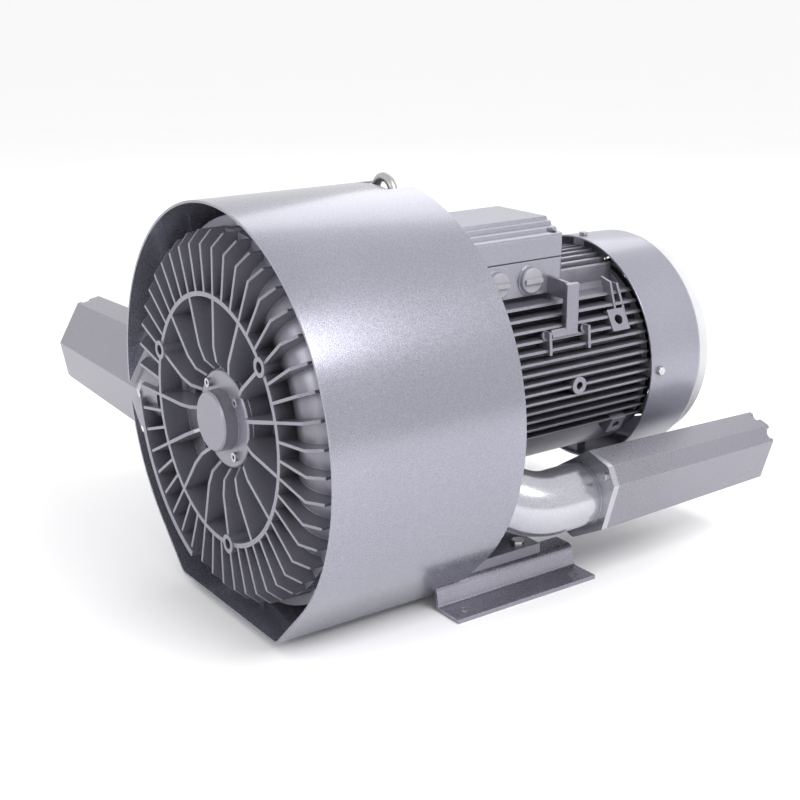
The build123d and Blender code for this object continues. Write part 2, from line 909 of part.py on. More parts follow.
with BuildPart() as rear_casing:
    revolve(
        section(
            (stage_2, seal_bore_r - 6.0),
            (stage_2, flange_r),
            (stage_2 + flange_t, flange_r),
            (stage_2 + flange_t, cover_r),
            (bowl_3 + wall_t, cover_r),
            (bowl_3 + wall_t, drum_r),
            (shield_front - drum_flange_t, drum_r),
            (shield_front - drum_flange_t, shield_r),
            (shield_front, shield_r),
            (shield_front, drum_r - drum_wall),
            (bowl_3 + wall_t, drum_r - drum_wall),
            (bowl_3 + wall_t, wall_step_r),
            (wall_3 + wall_t, wall_step_r),
            (wall_3 + wall_t, hub_tube_r + 4.0),
            (seal_front + seal_t, hub_tube_r + 4.0),
            (seal_front + seal_t, seal_bore_r - 6.0),
        ),
        machine_axis,
    )
    add(torus_half(stage_2, channel_r + channel_wall, 1, stripper_2, 0.0))
    add(around(rear_web.part, spaced(24, 3.0)))
    with BuildSketch(port_plane):
        Circle(port_boss_r)
    extrude(amount=port_boss_front - port_face)
    with BuildSketch(level(eye_seat)):
        with Locations((0, along(eye_station))):
            Circle(eye_boss_r)
    extrude(amount=drum_r - eye_seat)
    # feet: long pads on the rails, carried by upright webs
    for side in (1, -1):
        with BuildSketch(level(foot_top)):
            with Locations((side * foot_inner_x, along(rail_front + 1.0))):
                Rectangle(
                    foot_outer_x - foot_inner_x,
                    foot_rear - rail_front - 1.0,
                    align=(Align.MIN if side > 0 else Align.MAX, Align.MIN),
                )
        extrude(amount=foot_pad_t)
        with BuildSketch(Plane.YZ.offset(side * (foot_inner_x + 5.0))):
            with BuildLine():
                Polyline(
                    (along(bowl_3 + 2.0), rail_height + 1.0),
                    (along(foot_rear - 1.0), rail_height + 1.0),
                    (along(foot_rear - 1.0), rail_height + foot_pad_t + 8.0),
                    (along(shield_front + 8.0), rail_height + foot_pad_t + 34.0),
                    (along(shield_front - 1.0), axis_height - drum_r),
                    (along(shield_front - 1.0), web_top),
                    (along(bowl_3 + 2.0), web_top),
                    close=True,
                )
            make_face()
        extrude(amount=4.0, both=True)
        with BuildSketch(Plane.XZ.offset(-along(shield_front))):
            with BuildLine():
                Polyline(
                    (side * foot_inner_x, rail_height + 1.0),
                    (side * (foot_outer_x - 1.0), rail_height + 1.0),
                    (side * (foot_outer_x - 1.0), rail_height + foot_pad_t + 10.0),
                    (side * (foot_inner_x + 24.0), web_top),
                    (side * foot_inner_x, web_top),
                    close=True,
                )
            make_face()
        extrude(amount=drum_flange_t)
    # channel, impeller room, seal bore and outlet bore
    add(rear_cavity.part, mode=Mode.SUBTRACT)
    with BuildSketch(port_plane):
        Circle(port_boss_r + port_cut_gap)
    extrude(amount=elbow_flange_t, mode=Mode.SUBTRACT)
    with BuildSketch(port_plane):
        with PolarLocations(port_screw_pcd_r, 4, start_angle=45):
            Circle(3.5)
    extrude(amount=-18.0, mode=Mode.SUBTRACT)
    with BuildSketch(across(stage_2)):
        with Locations([at(flange_bolt_pcd_r, angle) for angle in flange_bolt_angles]):
            Circle(3.0 + clearance)
    extrude(amount=-flange_t, mode=Mode.SUBTRACT)
    with BuildSketch(across(shield_front)):
        with PolarLocations(shield_bolt_pcd_r, 8, start_angle=first_shield_bolt):
            Circle(4.0)
    extrude(amount=drum_flange_t, mode=Mode.SUBTRACT)
    with BuildSketch(level(eye_seat)):
        with Locations((0, along(eye_station))):
            Circle(eye_shank_r + fit)
    extrude(amount=-eye_shank_length - 2.0, mode=Mode.SUBTRACT)
    for side in (1, -1):
        with BuildSketch(level(foot_top)):
            with Locations([(side * foot_bolt_x, along(spot)) for spot in foot_bolt_stations]):
                Circle(5.0 + clearance)
        extrude(amount=foot_pad_t, mode=Mode.SUBTRACT)
finish(rear_casing, "rear_casing")

with BuildPart() as seals:
    revolve(
        ring(
            (stage_1 + stage_2) / 2,
            (stage_1 + stage_2) / 2 + seal_t,
            sleeve_r + clearance,
            hub_bore_r - fit,
        ),
        machine_axis,
    )
    revolve(
        ring(seal_front, seal_front + seal_t, motor_journal_r + clearance, seal_bore_r - fit),
        machine_axis,
    )
finish(seals, "shaft_seals")


# ---------------------------------------------------------------------------
# Casing bolts: one long stud bolt per hole through both joints, with nuts
# ---------------------------------------------------------------------------
front_nut_seat = stage_1 - flange_t
rear_nut_seat = stage_2 + flange_t

with BuildPart() as casing_bolt:
    Cylinder(3.0, rear_nut_seat - front_nut_seat + 10.0, align=(Align.CENTER, Align.CENTER, Align.MAX))
    with BuildSketch():
        RegularPolygon(5.4, 6)
    extrude(amount=5.0)
    with BuildSketch(Plane.XY.offset(front_nut_seat - rear_nut_seat)):
        RegularPolygon(5.4, 6)
    extrude(amount=-5.0)
save_set(
    placed(
        casing_bolt.part,
        across(front_nut_seat),
        [at(flange_bolt_pcd_r, angle) for angle in flange_bolt_angles],
    ),
    "casing_bolts",
)


# ---------------------------------------------------------------------------
# Rotating group: shaft, two impellers with keys, spacers and nut, rotor core
# ---------------------------------------------------------------------------
impeller_1_front = stage_1 - hub_half
impeller_2_rear = stage_2 + hub_half
fan_shaft_front = rear_bearing_station + motor_bearing_w + 4.0
fan_rear = fan_station + fan_width

with BuildPart() as shaft:
    revolve(
        section(
            (shaft_front, 0),
            (shaft_front, journal_r - 1.0),
            (shaft_front + 1.0, journal_r),
            (bearing_rear + clearance, journal_r),
            (bearing_rear + clearance, seat_r),
            (impeller_2_rear, seat_r),
            (impeller_2_rear, motor_journal_r),
            (drive_bearing_station + motor_bearing_w + clearance, motor_journal_r),
            (drive_bearing_station + motor_bearing_w + clearance, motor_shaft_r),
            (rear_bearing_station - clearance, motor_shaft_r),
            (rear_bearing_station - clearance, motor_journal_r),
            (fan_shaft_front, motor_journal_r),
            (fan_shaft_front, fan_seat_r),
            (fan_rear + 6.0, fan_seat_r),
            (fan_rear + 7.0, fan_seat_r - 1.0),
            (fan_rear + 7.0, 0),
        ),
        machine_axis,
    )
    with Locations([(0, along(stage), axis_height + seat_r) for stage in (stage_1, stage_2)]):
        Box(key_size, key_length, key_size, mode=Mode.SUBTRACT)
finish(shaft, "shaft")

with BuildPart() as keys:
    with Locations([(0, along(stage), axis_height + seat_r) for stage in (stage_1, stage_2)]):
        Box(key_size, key_length, key_size)
finish(keys, "impeller_keys")


def save_impeller(stage, name):
    """Impeller with straight radial blades on both faces of a thin dividing web."""
    blade_angles = spaced(blade_count, 5.0)
    with BuildPart() as blade:
        add(
            extrude(
                ring(
                    stage - impeller_half_width,
                    stage + impeller_half_width,
                    blade_root_r,
                    impeller_r - 0.2,
                ),
                amount=blade_t / 2,
                both=True,
                mode=Mode.PRIVATE,
            )
        )
    with BuildPart() as impeller:
        revolve(
            section(
                (stage - hub_half, seat_r + fit),
                (stage - hub_half, impeller_hub_r),
                (stage - disc_half, impeller_hub_r),
                (stage - disc_half, disc_r - 4.0),
                (stage - impeller_half_width, disc_r),
                (stage - impeller_half_width, blade_root_r + 2.0),
                (stage - blade_t, blade_root_r + 18.0),
                (stage - blade_t / 2, impeller_r),
                (stage + blade_t / 2, impeller_r),
                (stage + blade_t, blade_root_r + 18.0),
                (stage + impeller_half_width, blade_root_r + 2.0),
                (stage + impeller_half_width, disc_r),
                (stage + disc_half, disc_r - 4.0),
                (stage + disc_half, impeller_hub_r),
                (stage + hub_half, impeller_hub_r),
                (stage + hub_half, seat_r + fit),
            ),
            machine_axis,
        )
        add(around(blade.part, blade_angles))
        with Locations((0, along(stage), axis_height + seat_r)):
            Box(key_size + fit, 2 * hub_half, key_size + fit, mode=Mode.SUBTRACT)
    finish(impeller, name)


save_impeller(stage_1, "front_impeller")
save_impeller(stage_2, "rear_impeller")

with BuildPart() as spacers:
    revolve(
        ring(bearing_rear + clearance, impeller_1_front, seat_r + fit, spacer_r), machine_axis
    )
    revolve(
        ring(stage_1 + hub_half, stage_2 - hub_half, seat_r + fit, sleeve_r), machine_axis
    )
finish(spacers, "impeller_spacers")

with BuildPart() as lock_nut:
    with BuildSketch(across(front_bearing_station - clearance)):
        Circle(nut_r)
        Circle(journal_r + fit, mode=Mode.SUBTRACT)
        with PolarLocations(nut_r, 4):
            Rectangle(5.0, 5.0, mode=Mode.SUBTRACT)
    extrude(amount=nut_t)
finish(lock_nut, "impeller_lock_nut")

with BuildPart() as rotor_core:
    revolve(
        section(
            (stator_front - 10.0, rotor_r - 22.0),
            (stator_front - 10.0, rotor_r - 4.0),
            (stator_front, rotor_r - 4.0),
            (stator_front, rotor_r),
            (stator_front + stator_length, rotor_r),
            (stator_front + stator_length, rotor_r - 4.0),
            (stator_front + stator_length + 10.0, rotor_r - 4.0),
            (stator_front + stator_length + 10.0, rotor_r - 22.0),
            (stator_front + stator_length, rotor_r - 22.0),
            (stator_front + stator_length, motor_shaft_r + fit),
            (stator_front, motor_shaft_r + fit),
            (stator_front, rotor_r - 22.0),
        ),
        machine_axis,
    )
finish(rotor_core, "rotor_core")


# ---------------------------------------------------------------------------
# Motor: end shields, finned frame, stator and windings
# ---------------------------------------------------------------------------
spigot_t = 8.0
spigot_inner_r = frame_bore_r - 8.0
pocket_rear = drive_bearing_station + motor_bearing_w + 2.0
rear_pocket_front = rear_bearing_station - 2.0
cowl_bore_r = cowl_r - cowl_taper - cowl_sheet
lug_r = cowl_r - cowl_sheet - 0.8
lug_width = 18.0
lug_length = 14.0

with BuildPart() as front_shield:
    revolve(
        section(
            (shield_front, motor_shaft_r),
            (shield_front, shield_r),
            (shield_front + shield_t - 5.0, shield_r),
            (shield_rear, belly_r),
            (shield_rear, frame_bore_r - fit),
            (shield_rear + spigot_t, frame_bore_r - fit),
            (shield_rear + spigot_t, spigot_inner_r),
            (shield_rear, spigot_inner_r),
            (shield_rear, shield_hub_r),
            (pocket_rear, shield_hub_r),
            (pocket_rear, motor_bearing_r + fit),
            (drive_bearing_station, motor_bearing_r + fit),
            (drive_bearing_station, motor_shaft_r),
        ),
        machine_axis,
    )
    with BuildSketch(across(shield_front)):
        with PolarLocations(shield_bolt_pcd_r, 8, start_angle=first_shield_bolt):
            Circle(4.0 + clearance)
    extrude(amount=-shield_t, mode=Mode.SUBTRACT)
    # spot faces for the bolt heads
    with BuildSketch(across(shield_front + shield_t - 5.0)):
        with PolarLocations(shield_bolt_pcd_r, 8, start_angle=first_shield_bolt):
            Circle(8.0)
    extrude(amount=-shield_t, mode=Mode.SUBTRACT)
    # rim cut away round the outlet port
    with BuildSketch(port_plane):
        Circle(port_boss_r + port_cut_gap)
    extrude(amount=shield_rear - port_face, mode=Mode.SUBTRACT)
finish(front_shield, "drive_end_shield")

shield_bolt = hex_screw(4.0, drum_flange_t + shield_t - 5.0, 7.0, 5.0)
save_set(
    placed(
        shield_bolt,
        Plane(
            origin=(0, along(shield_rear - 5.0), axis_height), x_dir=(-1, 0, 0), z_dir=(0, 1, 0)
        ),
        [at(shield_bolt_pcd_r, 180 - first_shield_bolt + 45 * index) for index in range(8)],
    ),
    "motor_flange_bolts",
)

with BuildPart() as rear_shield:
    revolve(
        section(
            (motor_rear - spigot_t, spigot_inner_r),
            (motor_rear - spigot_t, frame_bore_r - fit),
            (motor_rear, frame_bore_r - fit),
            (motor_rear, belly_r),
            (motor_rear + rear_shield_t - 4.0, belly_r),
            (motor_rear + rear_shield_t, frame_bore_r),
            (motor_rear + rear_shield_t, motor_shaft_r),
            (rear_bearing_station + motor_bearing_w, motor_shaft_r),
            (rear_bearing_station + motor_bearing_w, motor_bearing_r + fit),
            (rear_pocket_front, motor_bearing_r + fit),
            (rear_pocket_front, shield_hub_r),
            (motor_rear, shield_hub_r),
            (motor_rear, spigot_inner_r),
        ),
        machine_axis,
    )
    # four lugs that carry the cowl
    with BuildSketch(across(motor_rear)):
        with PolarLocations(belly_r - 8.0, 4):
            Rectangle(lug_r - belly_r + 8.0, lug_width, align=(Align.MIN, Align.CENTER))
    extrude(amount=-lug_length)
    for angle in cowl_screw_angles:
        with BuildSketch(boss_plane(angle, cowl_screw_station, lug_r)):
            Circle(thread_hole_r)
        extrude(amount=-14.0, mode=Mode.SUBTRACT)
finish(rear_shield, "fan_end_shield")

# Motor frame: plain barrel with horizontal side fins, upright top fins, a
# plain belly band and the cast pads and bosses of its two sides
side_fin_rows = range(-5, 9)
pad_face_r = 131.0
pads = ((29.0, 462.0, 13.0), (-30.0, 465.0, 11.0))
bosses = ((0.0, 390.0, 10.0), (27.5, 352.0, 6.0), (27.5, 409.0, 6.0))
lug_bar = (359.0, 396.0)
lug_bar_angle = 28.0
pad_root = frame_r - pad_face_r - 4.0


def facing(angle, mirrored):
    """Angle of a feature on the right side or of its twin on the left."""
    return 180 - angle if mirrored else angle



with BuildPart() as motor_frame:
    with BuildSketch(across(shield_rear)):
        Circle(frame_r)
    extrude(amount=shield_rear - motor_rear)
    with BuildSketch(across(shield_rear)):
        with Locations([(0, fin_pitch * row) for row in side_fin_rows]):
            Rectangle(2 * fin_tip_r, fin_t)
        Circle(fin_tip_r, mode=Mode.INTERSECT)
        Circle(frame_r - 2.0, mode=Mode.SUBTRACT)
    extrude(amount=shield_rear - motor_rear)
    # upright fins on top, in front of the terminal box and behind it
    with BuildSketch(across(shield_rear)):
        with Locations([(fin_pitch * column, frame_r - 40.0) for column in range(-5, 6)]):
            Rectangle(fin_t, 60.0, align=(Align.CENTER, Align.MIN))
        Circle(fin_tip_r, mode=Mode.INTERSECT)
        Circle(frame_r - 2.0, mode=Mode.SUBTRACT)
    extrude(amount=shield_rear - motor_rear)
    # plain belly
    with BuildSketch(across(shield_rear)):
        Circle(belly_r)
        with Locations((0, -low_fin_limit)):
            Rectangle(2 * belly_r, 2 * belly_r, align=(Align.CENTER, Align.MIN), mode=Mode.SUBTRACT)
    extrude(amount=shield_rear - motor_rear)
    # pads, bosses and lug bars on both sides
    for mirrored in (False, True):
        for angle, station, half in pads:
            with BuildSketch(boss_plane(facing(angle, mirrored), station, pad_face_r)):
                Rectangle(2 * half, 2 * half)
            extrude(amount=pad_root)
        for angle, station, radius in bosses:
            with BuildSketch(boss_plane(facing(angle, mirrored), station, pad_face_r)):
                Circle(radius)
            extrude(amount=pad_root)
        with BuildSketch(
            boss_plane(facing(lug_bar_angle, mirrored), sum(lug_bar) / 2, pad_face_r + 2.0)
        ):
            Rectangle(lug_bar[1] - lug_bar[0], 9.0)
        extrude(amount=pad_root)
    # room for the terminal box above the barrel
    with BuildSketch(across(box_front - 1.0)):
        with Locations((0, box_foot)):
            Rectangle(
                2 * box_half_width + 2.0, frame_r, align=(Align.CENTER, Align.MIN)
            )
        Circle(frame_r, mode=Mode.SUBTRACT)
    extrude(amount=box_front - box_rear - 2.0, mode=Mode.SUBTRACT)
    # bore, tapped holes and blind holes in the pads
    with BuildSketch(across(shield_rear)):
        Circle(frame_bore_r)
    extrude(amount=shield_rear - motor_rear, mode=Mode.SUBTRACT)
    for mirrored in (False, True):
        for angle, station, radius in (*pads, *bosses):
            with BuildSketch(boss_plane(facing(angle, mirrored), station, pad_face_r)):
                Circle(radius * 0.45)
            extrude(amount=-14.0, mode=Mode.SUBTRACT)
finish(motor_frame, "motor_frame")

with BuildPart() as stator:
    revolve(
        ring(stator_front, stator_front + stator_length, rotor_r + air_gap, frame_bore_r - fit),
        machine_axis,
    )
finish(stator, "stator_core")

with BuildPart() as windings:
    for front in (stator_front - winding_overhang, stator_front + stator_length):
        with BuildSketch(through(90)):
            with Locations(
                (along(front + winding_overhang / 2), (winding_inner_r + winding_outer_r) / 2)
            ):
                RectangleRounded(winding_overhang, winding_outer_r - winding_inner_r, 6.0)
        revolve(axis=machine_axis)
finish(windings, "stator_windings")


# ---------------------------------------------------------------------------
# Cooling fan, sheet cowl, its screws and the guard
# ---------------------------------------------------------------------------
fan_plate_t = 4.0
fan_hub_r = 26.0

with BuildPart() as fan_blade:
    add(
        extrude(
            section(
                (fan_station + 1.0, fan_hub_r - 2.0),
                (fan_station + 1.0, fan_r - 1.0),
                (fan_station + fan_width - 6.0, fan_r - 1.0),
                (fan_station + fan_width, fan_r - 20.0),
                (fan_station + fan_width, fan_hub_r - 2.0),
            ),
            amount=fan_plate_t / 2,
            both=True,
            mode=Mode.PRIVATE,
        )
    )

with BuildPart() as cooling_fan:
    revolve(
        section(
            (fan_station, fan_seat_r + fit),
            (fan_station, fan_r),
            (fan_station + fan_plate_t, fan_r),
            (fan_station + fan_plate_t, fan_hub_r),
            (fan_rear, fan_hub_r),
            (fan_rear, fan_seat_r + fit),
        ),
        machine_axis,
    )
    add(around(fan_blade.part, spaced(fan_blade_count)))
finish(cooling_fan, "cooling_fan")

rim_t = 12.0

with BuildPart() as cowl:
    revolve(
        section(
            (cowl_front, cowl_r - cowl_sheet),
            (cowl_front, cowl_r),
            (cowl_rear - rim_t, cowl_r - cowl_taper),
            (cowl_rear - 3.0, cowl_r - cowl_taper - 3.0),
            (cowl_rear, guard_r + 4.0),
            (cowl_rear, guard_r - 8.0),
            (cowl_rear - cowl_sheet, guard_r - 8.0),
            (cowl_rear - cowl_sheet, guard_r + 3.0),
            (cowl_rear - 4.0, cowl_bore_r - 3.0),
            (cowl_rear - rim_t, cowl_bore_r),
        ),
        machine_axis,
    )
    for angle in cowl_screw_angles:
        with BuildSketch(boss_plane(angle, cowl_screw_station, cowl_r)):
            Circle(thread_hole_r + clearance)
        extrude(amount=-2 * cowl_sheet, mode=Mode.SUBTRACT)
finish(cowl, "fan_cowl")

cowl_screw = hex_screw(thread_hole_r - fit, 14.0, 5.5, 4.0)
cowl_screws = [
    boss_plane(angle, cowl_screw_station, cowl_r).location * cowl_screw
    for angle in cowl_screw_angles
]
save_set(cowl_screws, "cowl_screws")

with BuildPart() as guard:
    # mounting band inside the cowl's rear opening, then rings and spokes behind it
    revolve(
        ring(cowl_rear, cowl_rear + guard_depth, guard_r - 4.0, guard_r),
        machine_axis,
    )
    for index in range(guard_ring_count):
        radius = 18.0 + index * (guard_r - 22.0) / guard_ring_count
        revolve(
            ring(
                cowl_rear + guard_depth - guard_bar,
                cowl_rear + guard_depth,
                radius - guard_bar / 2,
                radius + guard_bar / 2,
            ),
            machine_axis,
        )
    with BuildSketch(across(cowl_rear + guard_depth - guard_bar / 2)):
        with PolarLocations(17.5, guard_spoke_count):
            Rectangle(guard_r - 19.5, guard_bar, align=(Align.MIN, Align.CENTER))
    extrude(amount=-guard_bar / 2 + 0.2)
finish(guard, "fan_guard")


# ---------------------------------------------------------------------------
# Terminal box: base cast to the barrel's curve, gasket, stepped lid, screws,
# terminal block and blanking plugs
# ---------------------------------------------------------------------------
box_mid = along((box_front + box_rear) / 2)
box_length = box_rear - box_front
base_top = box_seam - box_gasket_t
saddle_r = frame_r + fit
lid_screw_x = box_half_width - lid_screw_inset
lid_screw_y = box_length / 2 - lid_screw_inset

with BuildPart() as box_base:
    with BuildSketch(level(base_top)):
        with Locations((0, box_mid)):
            RectangleRounded(2 * box_half_width, box_length, 6.0)
    extrude(amount=box_foot - base_top)
    with BuildSketch(level(base_top)):
        with Locations((0, box_mid)):
            Rectangle(2 * (box_half_width - box_wall), box_length - 2 * box_wall)
        with Locations((0, box_mid)):
            with GridLocations(2 * lid_screw_x, 2 * lid_screw_y, 2, 2):
                Rectangle(16.0, 16.0, mode=Mode.SUBTRACT)
    extrude(amount=box_foot + box_floor_t - base_top, mode=Mode.SUBTRACT)
    with BuildSketch(across(box_front + box_wall / 2)):
        Circle(saddle_r + box_floor_t)
        Rectangle(2 * (box_half_width - 1.0), 4 * frame_r, mode=Mode.INTERSECT)
        with Locations((0, box_foot + 1.0)):
            Rectangle(4 * frame_r, 4 * frame_r, align=(Align.CENTER, Align.MAX), mode=Mode.SUBTRACT)
    extrude(amount=box_wall - box_length)
    with BuildSketch(across(box_front)):
        Circle(saddle_r)
    extrude(amount=-box_length, mode=Mode.SUBTRACT)
    with BuildSketch(level(base_top)):
        with Locations((0, box_mid)):
            with GridLocations(2 * lid_screw_x, 2 * lid_screw_y, 2, 2):
                Circle(thread_hole_r)
    extrude(amount=-18.0, mode=Mode.SUBTRACT)
    # round bosses and bores for the plugs
    with BuildSketch(Plane.YZ.offset(box_half_width + 1.5)):
        with Locations([(along(station), axis_height + plug_height) for station in plug_stations]):
            Circle(plug_r + 3.0)
    extrude(amount=-box_wall)
    with BuildSketch(Plane.YZ.offset(box_half_width + 1.5)):
        with Locations([(along(station), axis_height + plug_height) for station in plug_stations]):
            Circle(plug_r - 4.5)
    extrude(amount=-3 * box_wall, mode=Mode.SUBTRACT)
finish(box_base, "terminal_box_base")

with BuildPart() as box_gasket:
    with BuildSketch(level(base_top)):
        with Locations((0, box_mid)):
            RectangleRounded(2 * box_half_width - 1.0, box_length - 1.0, 5.5)
            Rectangle(
                2 * (box_half_width - box_wall), box_length - 2 * box_wall, mode=Mode.SUBTRACT
            )
            with GridLocations(2 * lid_screw_x, 2 * lid_screw_y, 2, 2):
                Rectangle(15.0, 15.0)
            with GridLocations(2 * lid_screw_x, 2 * lid_screw_y, 2, 2):
                Circle(thread_hole_r + clearance, mode=Mode.SUBTRACT)
    extrude(amount=box_gasket_t)
finish(box_gasket, "terminal_box_gasket")

lid_steps = (
    (lid_top_x, lid_top),
    (lid_top_x + 2.0, lid_top - 3.5),
    (lid_top_x + 8.0, lid_top - 4.5),
    (lid_top_x + 9.5, lid_mid + 1.5),
    (lid_mid_x, lid_mid),
    (lid_mid_x + 1.5, lid_eave + 3.0),
    (box_half_width - 2.5, lid_eave + 1.5),
    (box_half_width, lid_eave - 1.0),
    (box_half_width, box_seam),
)

with BuildPart() as box_lid:
    with BuildSketch(across(box_front)):
        with BuildLine():
            Polyline([*lid_steps, *[(-x, z) for x, z in reversed(lid_steps)]], close=True)
        make_face()
    extrude(amount=-box_length)
    fillet(box_lid.edges().filter_by(Axis.Z), 5.0)
    with BuildSketch(level(box_seam)):
        with Locations((0, box_mid)):
            Rectangle(2 * (box_half_width - box_wall), box_length - 2 * box_wall)
            with GridLocations(2 * lid_screw_x, 2 * lid_screw_y, 2, 2):
                Rectangle(16.0, 16.0, mode=Mode.SUBTRACT)
    extrude(amount=lid_eave - box_wall - box_seam, mode=Mode.SUBTRACT)
    with BuildSketch(level(box_seam)):
        with Locations((0, box_mid)):
            Rectangle(2 * (lid_top_x - box_wall), box_length - 2 * box_wall)
    extrude(amount=lid_top - box_wall - box_seam, mode=Mode.SUBTRACT)
    # sunk seats and holes for the lid screws
    with BuildSketch(level(lid_eave - box_wall)):
        with Locations((0, box_mid)):
            with GridLocations(2 * lid_screw_x, 2 * lid_screw_y, 2, 2):
                Circle(5.5)
    extrude(amount=2 * box_wall + 4.0, mode=Mode.SUBTRACT)
    with BuildSketch(level(box_seam)):
        with Locations((0, box_mid)):
            with GridLocations(2 * lid_screw_x, 2 * lid_screw_y, 2, 2):
                Circle(thread_hole_r + clearance)
    extrude(amount=lid_eave - box_seam, mode=Mode.SUBTRACT)
finish(box_lid, "terminal_box_lid")

lid_screw = socket_screw(thread_hole_r - fit, lid_eave - box_wall - base_top + 12.0, 4.8, 4.0)
lid_screw_plane = Plane(origin=(0, box_mid, axis_height + lid_eave - box_wall))
save_set(
    placed(
        lid_screw,
        lid_screw_plane,
        [(side * lid_screw_x, end * lid_screw_y) for side in (1, -1) for end in (1, -1)],
    ),
    "terminal_box_screws",
)

block_floor = saddle_r + box_floor_t
stud_pitch_x = 20.0
stud_pitch_y = 26.0

with BuildPart() as terminal_block:
    with BuildSketch(level(block_floor)):
        with Locations((0, box_mid)):
            RectangleRounded(70.0, 60.0, 3.0)
    extrude(amount=6.0)
    with BuildSketch(level(block_floor + 6.0)):
        with Locations((0, box_mid)):
            Rectangle(66.0, 3.0)
    extrude(amount=5.0)
finish(terminal_block, "terminal_block")

with BuildPart() as studs:
    with BuildSketch(level(block_floor + 6.0)):
        with Locations((0, box_mid)):
            with GridLocations(stud_pitch_x, stud_pitch_y, 3, 2):
                RegularPolygon(5.0, 6)
    extrude(amount=4.0)
    with BuildSketch(level(block_floor + 10.0)):
        with Locations((0, box_mid)):
            with GridLocations(stud_pitch_x, stud_pitch_y, 3, 2):
                Circle(2.5)
    extrude(amount=7.0)
finish(studs, "terminal_studs")

with BuildPart() as plug:
    Cylinder(plug_r, 4.5, align=(Align.CENTER, Align.CENTER, Align.MIN))
    chamfer(plug.faces().sort_by(Axis.Z)[-1].edges(), 1.2)
    with BuildSketch(Plane.XY.offset(4.5)):
        Rectangle(2 * plug_r - 5.0, 5.0)
    extrude(amount=3.5)
    Cylinder(plug_r - 4.5 - fit, 8.0, align=(Align.CENTER, Align.CENTER, Align.MAX))
plug_plane = Plane(
    origin=(box_half_width + 1.5, 0, axis_height + plug_height), x_dir=(0, 1, 0), z_dir=(1, 0, 0)
)
save_set(
    placed(plug.part, plug_plane, [(along(station), 0) for station in plug_stations]),
    "blanking_plugs",
)


# ---------------------------------------------------------------------------
# Outlet elbow: a cast pipe bent outwards in the plane of the port's angle,
# from the casing's port to the silencer's end flange
# ---------------------------------------------------------------------------
joint_face = port_face + gasket_t
end_r = sqrt(outlet_x**2 + outlet_drop**2)
shift = end_r - port_r
bend = acos(1 - shift / (2 * elbow_bend_r))
bend_start = joint_face + elbow_flange_t + 2.0
elbow_plane = through(port_angle)

with BuildPart() as elbow:
    with BuildLine(elbow_plane) as route:
        first = Line(
            (along(joint_face), port_r),
            (along(bend_start), port_r),
        )
        out_bend = JernArc(first @ 1, first % 1, elbow_bend_r, degrees(bend))
        back_bend = JernArc(out_bend @ 1, out_bend % 1, elbow_bend_r, -degrees(bend))
        Line(back_bend @ 1, (along(outlet_station), end_r))
    with BuildSketch(Plane(origin=first @ 0, z_dir=first % 0)):
        Circle(pipe_r)
    sweep()
    with BuildSketch(Plane(origin=first @ 0, z_dir=first % 0)):
        Circle(port_boss_r)
    extrude(amount=elbow_flange_t)
    extrude(silencer_face(outlet_plane, 1.0, 0.0), amount=end_flange_t)
    with BuildSketch(Plane(origin=first @ 0, z_dir=first % 0)):
        Circle(port_bore_r)
    sweep(path=route.wires()[0], mode=Mode.SUBTRACT)
    with BuildSketch(outlet_plane):
        Circle(port_bore_r)
    extrude(amount=end_flange_t, mode=Mode.SUBTRACT)
    with BuildSketch(port_plane):
        with PolarLocations(port_screw_pcd_r, 4, start_angle=45):
            Circle(4.0 + clearance)
    extrude(amount=gasket_t + elbow_flange_t, mode=Mode.SUBTRACT)
    with BuildSketch(outlet_plane):
        with Locations(silencer_screw_spots):
            Circle(3.0 + clearance)
    extrude(amount=end_flange_t, mode=Mode.SUBTRACT)
finish(elbow, "outlet_elbow")

with BuildPart() as elbow_gasket:
    with BuildSketch(port_plane):
        Circle(port_boss_r - 1.0)
        Circle(port_bore_r, mode=Mode.SUBTRACT)
        with PolarLocations(port_screw_pcd_r, 4, start_angle=45):
            Circle(4.0 + clearance, mode=Mode.SUBTRACT)
    extrude(amount=gasket_t)
finish(elbow_gasket, "elbow_gasket")

elbow_screw = hex_screw(3.5 - fit, gasket_t + elbow_flange_t + 14.0, 6.5, 5.0)
save_set(
    placed(
        elbow_screw,
        port_plane.offset(gasket_t + elbow_flange_t),
        [at(port_screw_pcd_r, 45 + 90 * index) for index in range(4)],
    ),
    "elbow_screws",
)


# ---------------------------------------------------------------------------
# Silencers: the same tapered shell twice, with a foam liner round the air
# passage and a threaded port in the far end
# ---------------------------------------------------------------------------
def tapered(plane, inset, start, stop):
    """Loft of the silencer outline between two distances from its mounting face."""
    def share(distance):
        return 1 - (1 - silencer_taper) * distance / silencer_length

    return loft(
        [
            silencer_face(plane.offset(start), share(start), inset),
            silencer_face(plane.offset(stop), share(stop), inset),
        ],
        mode=Mode.PRIVATE,
    )


end_wall_t = 8.0


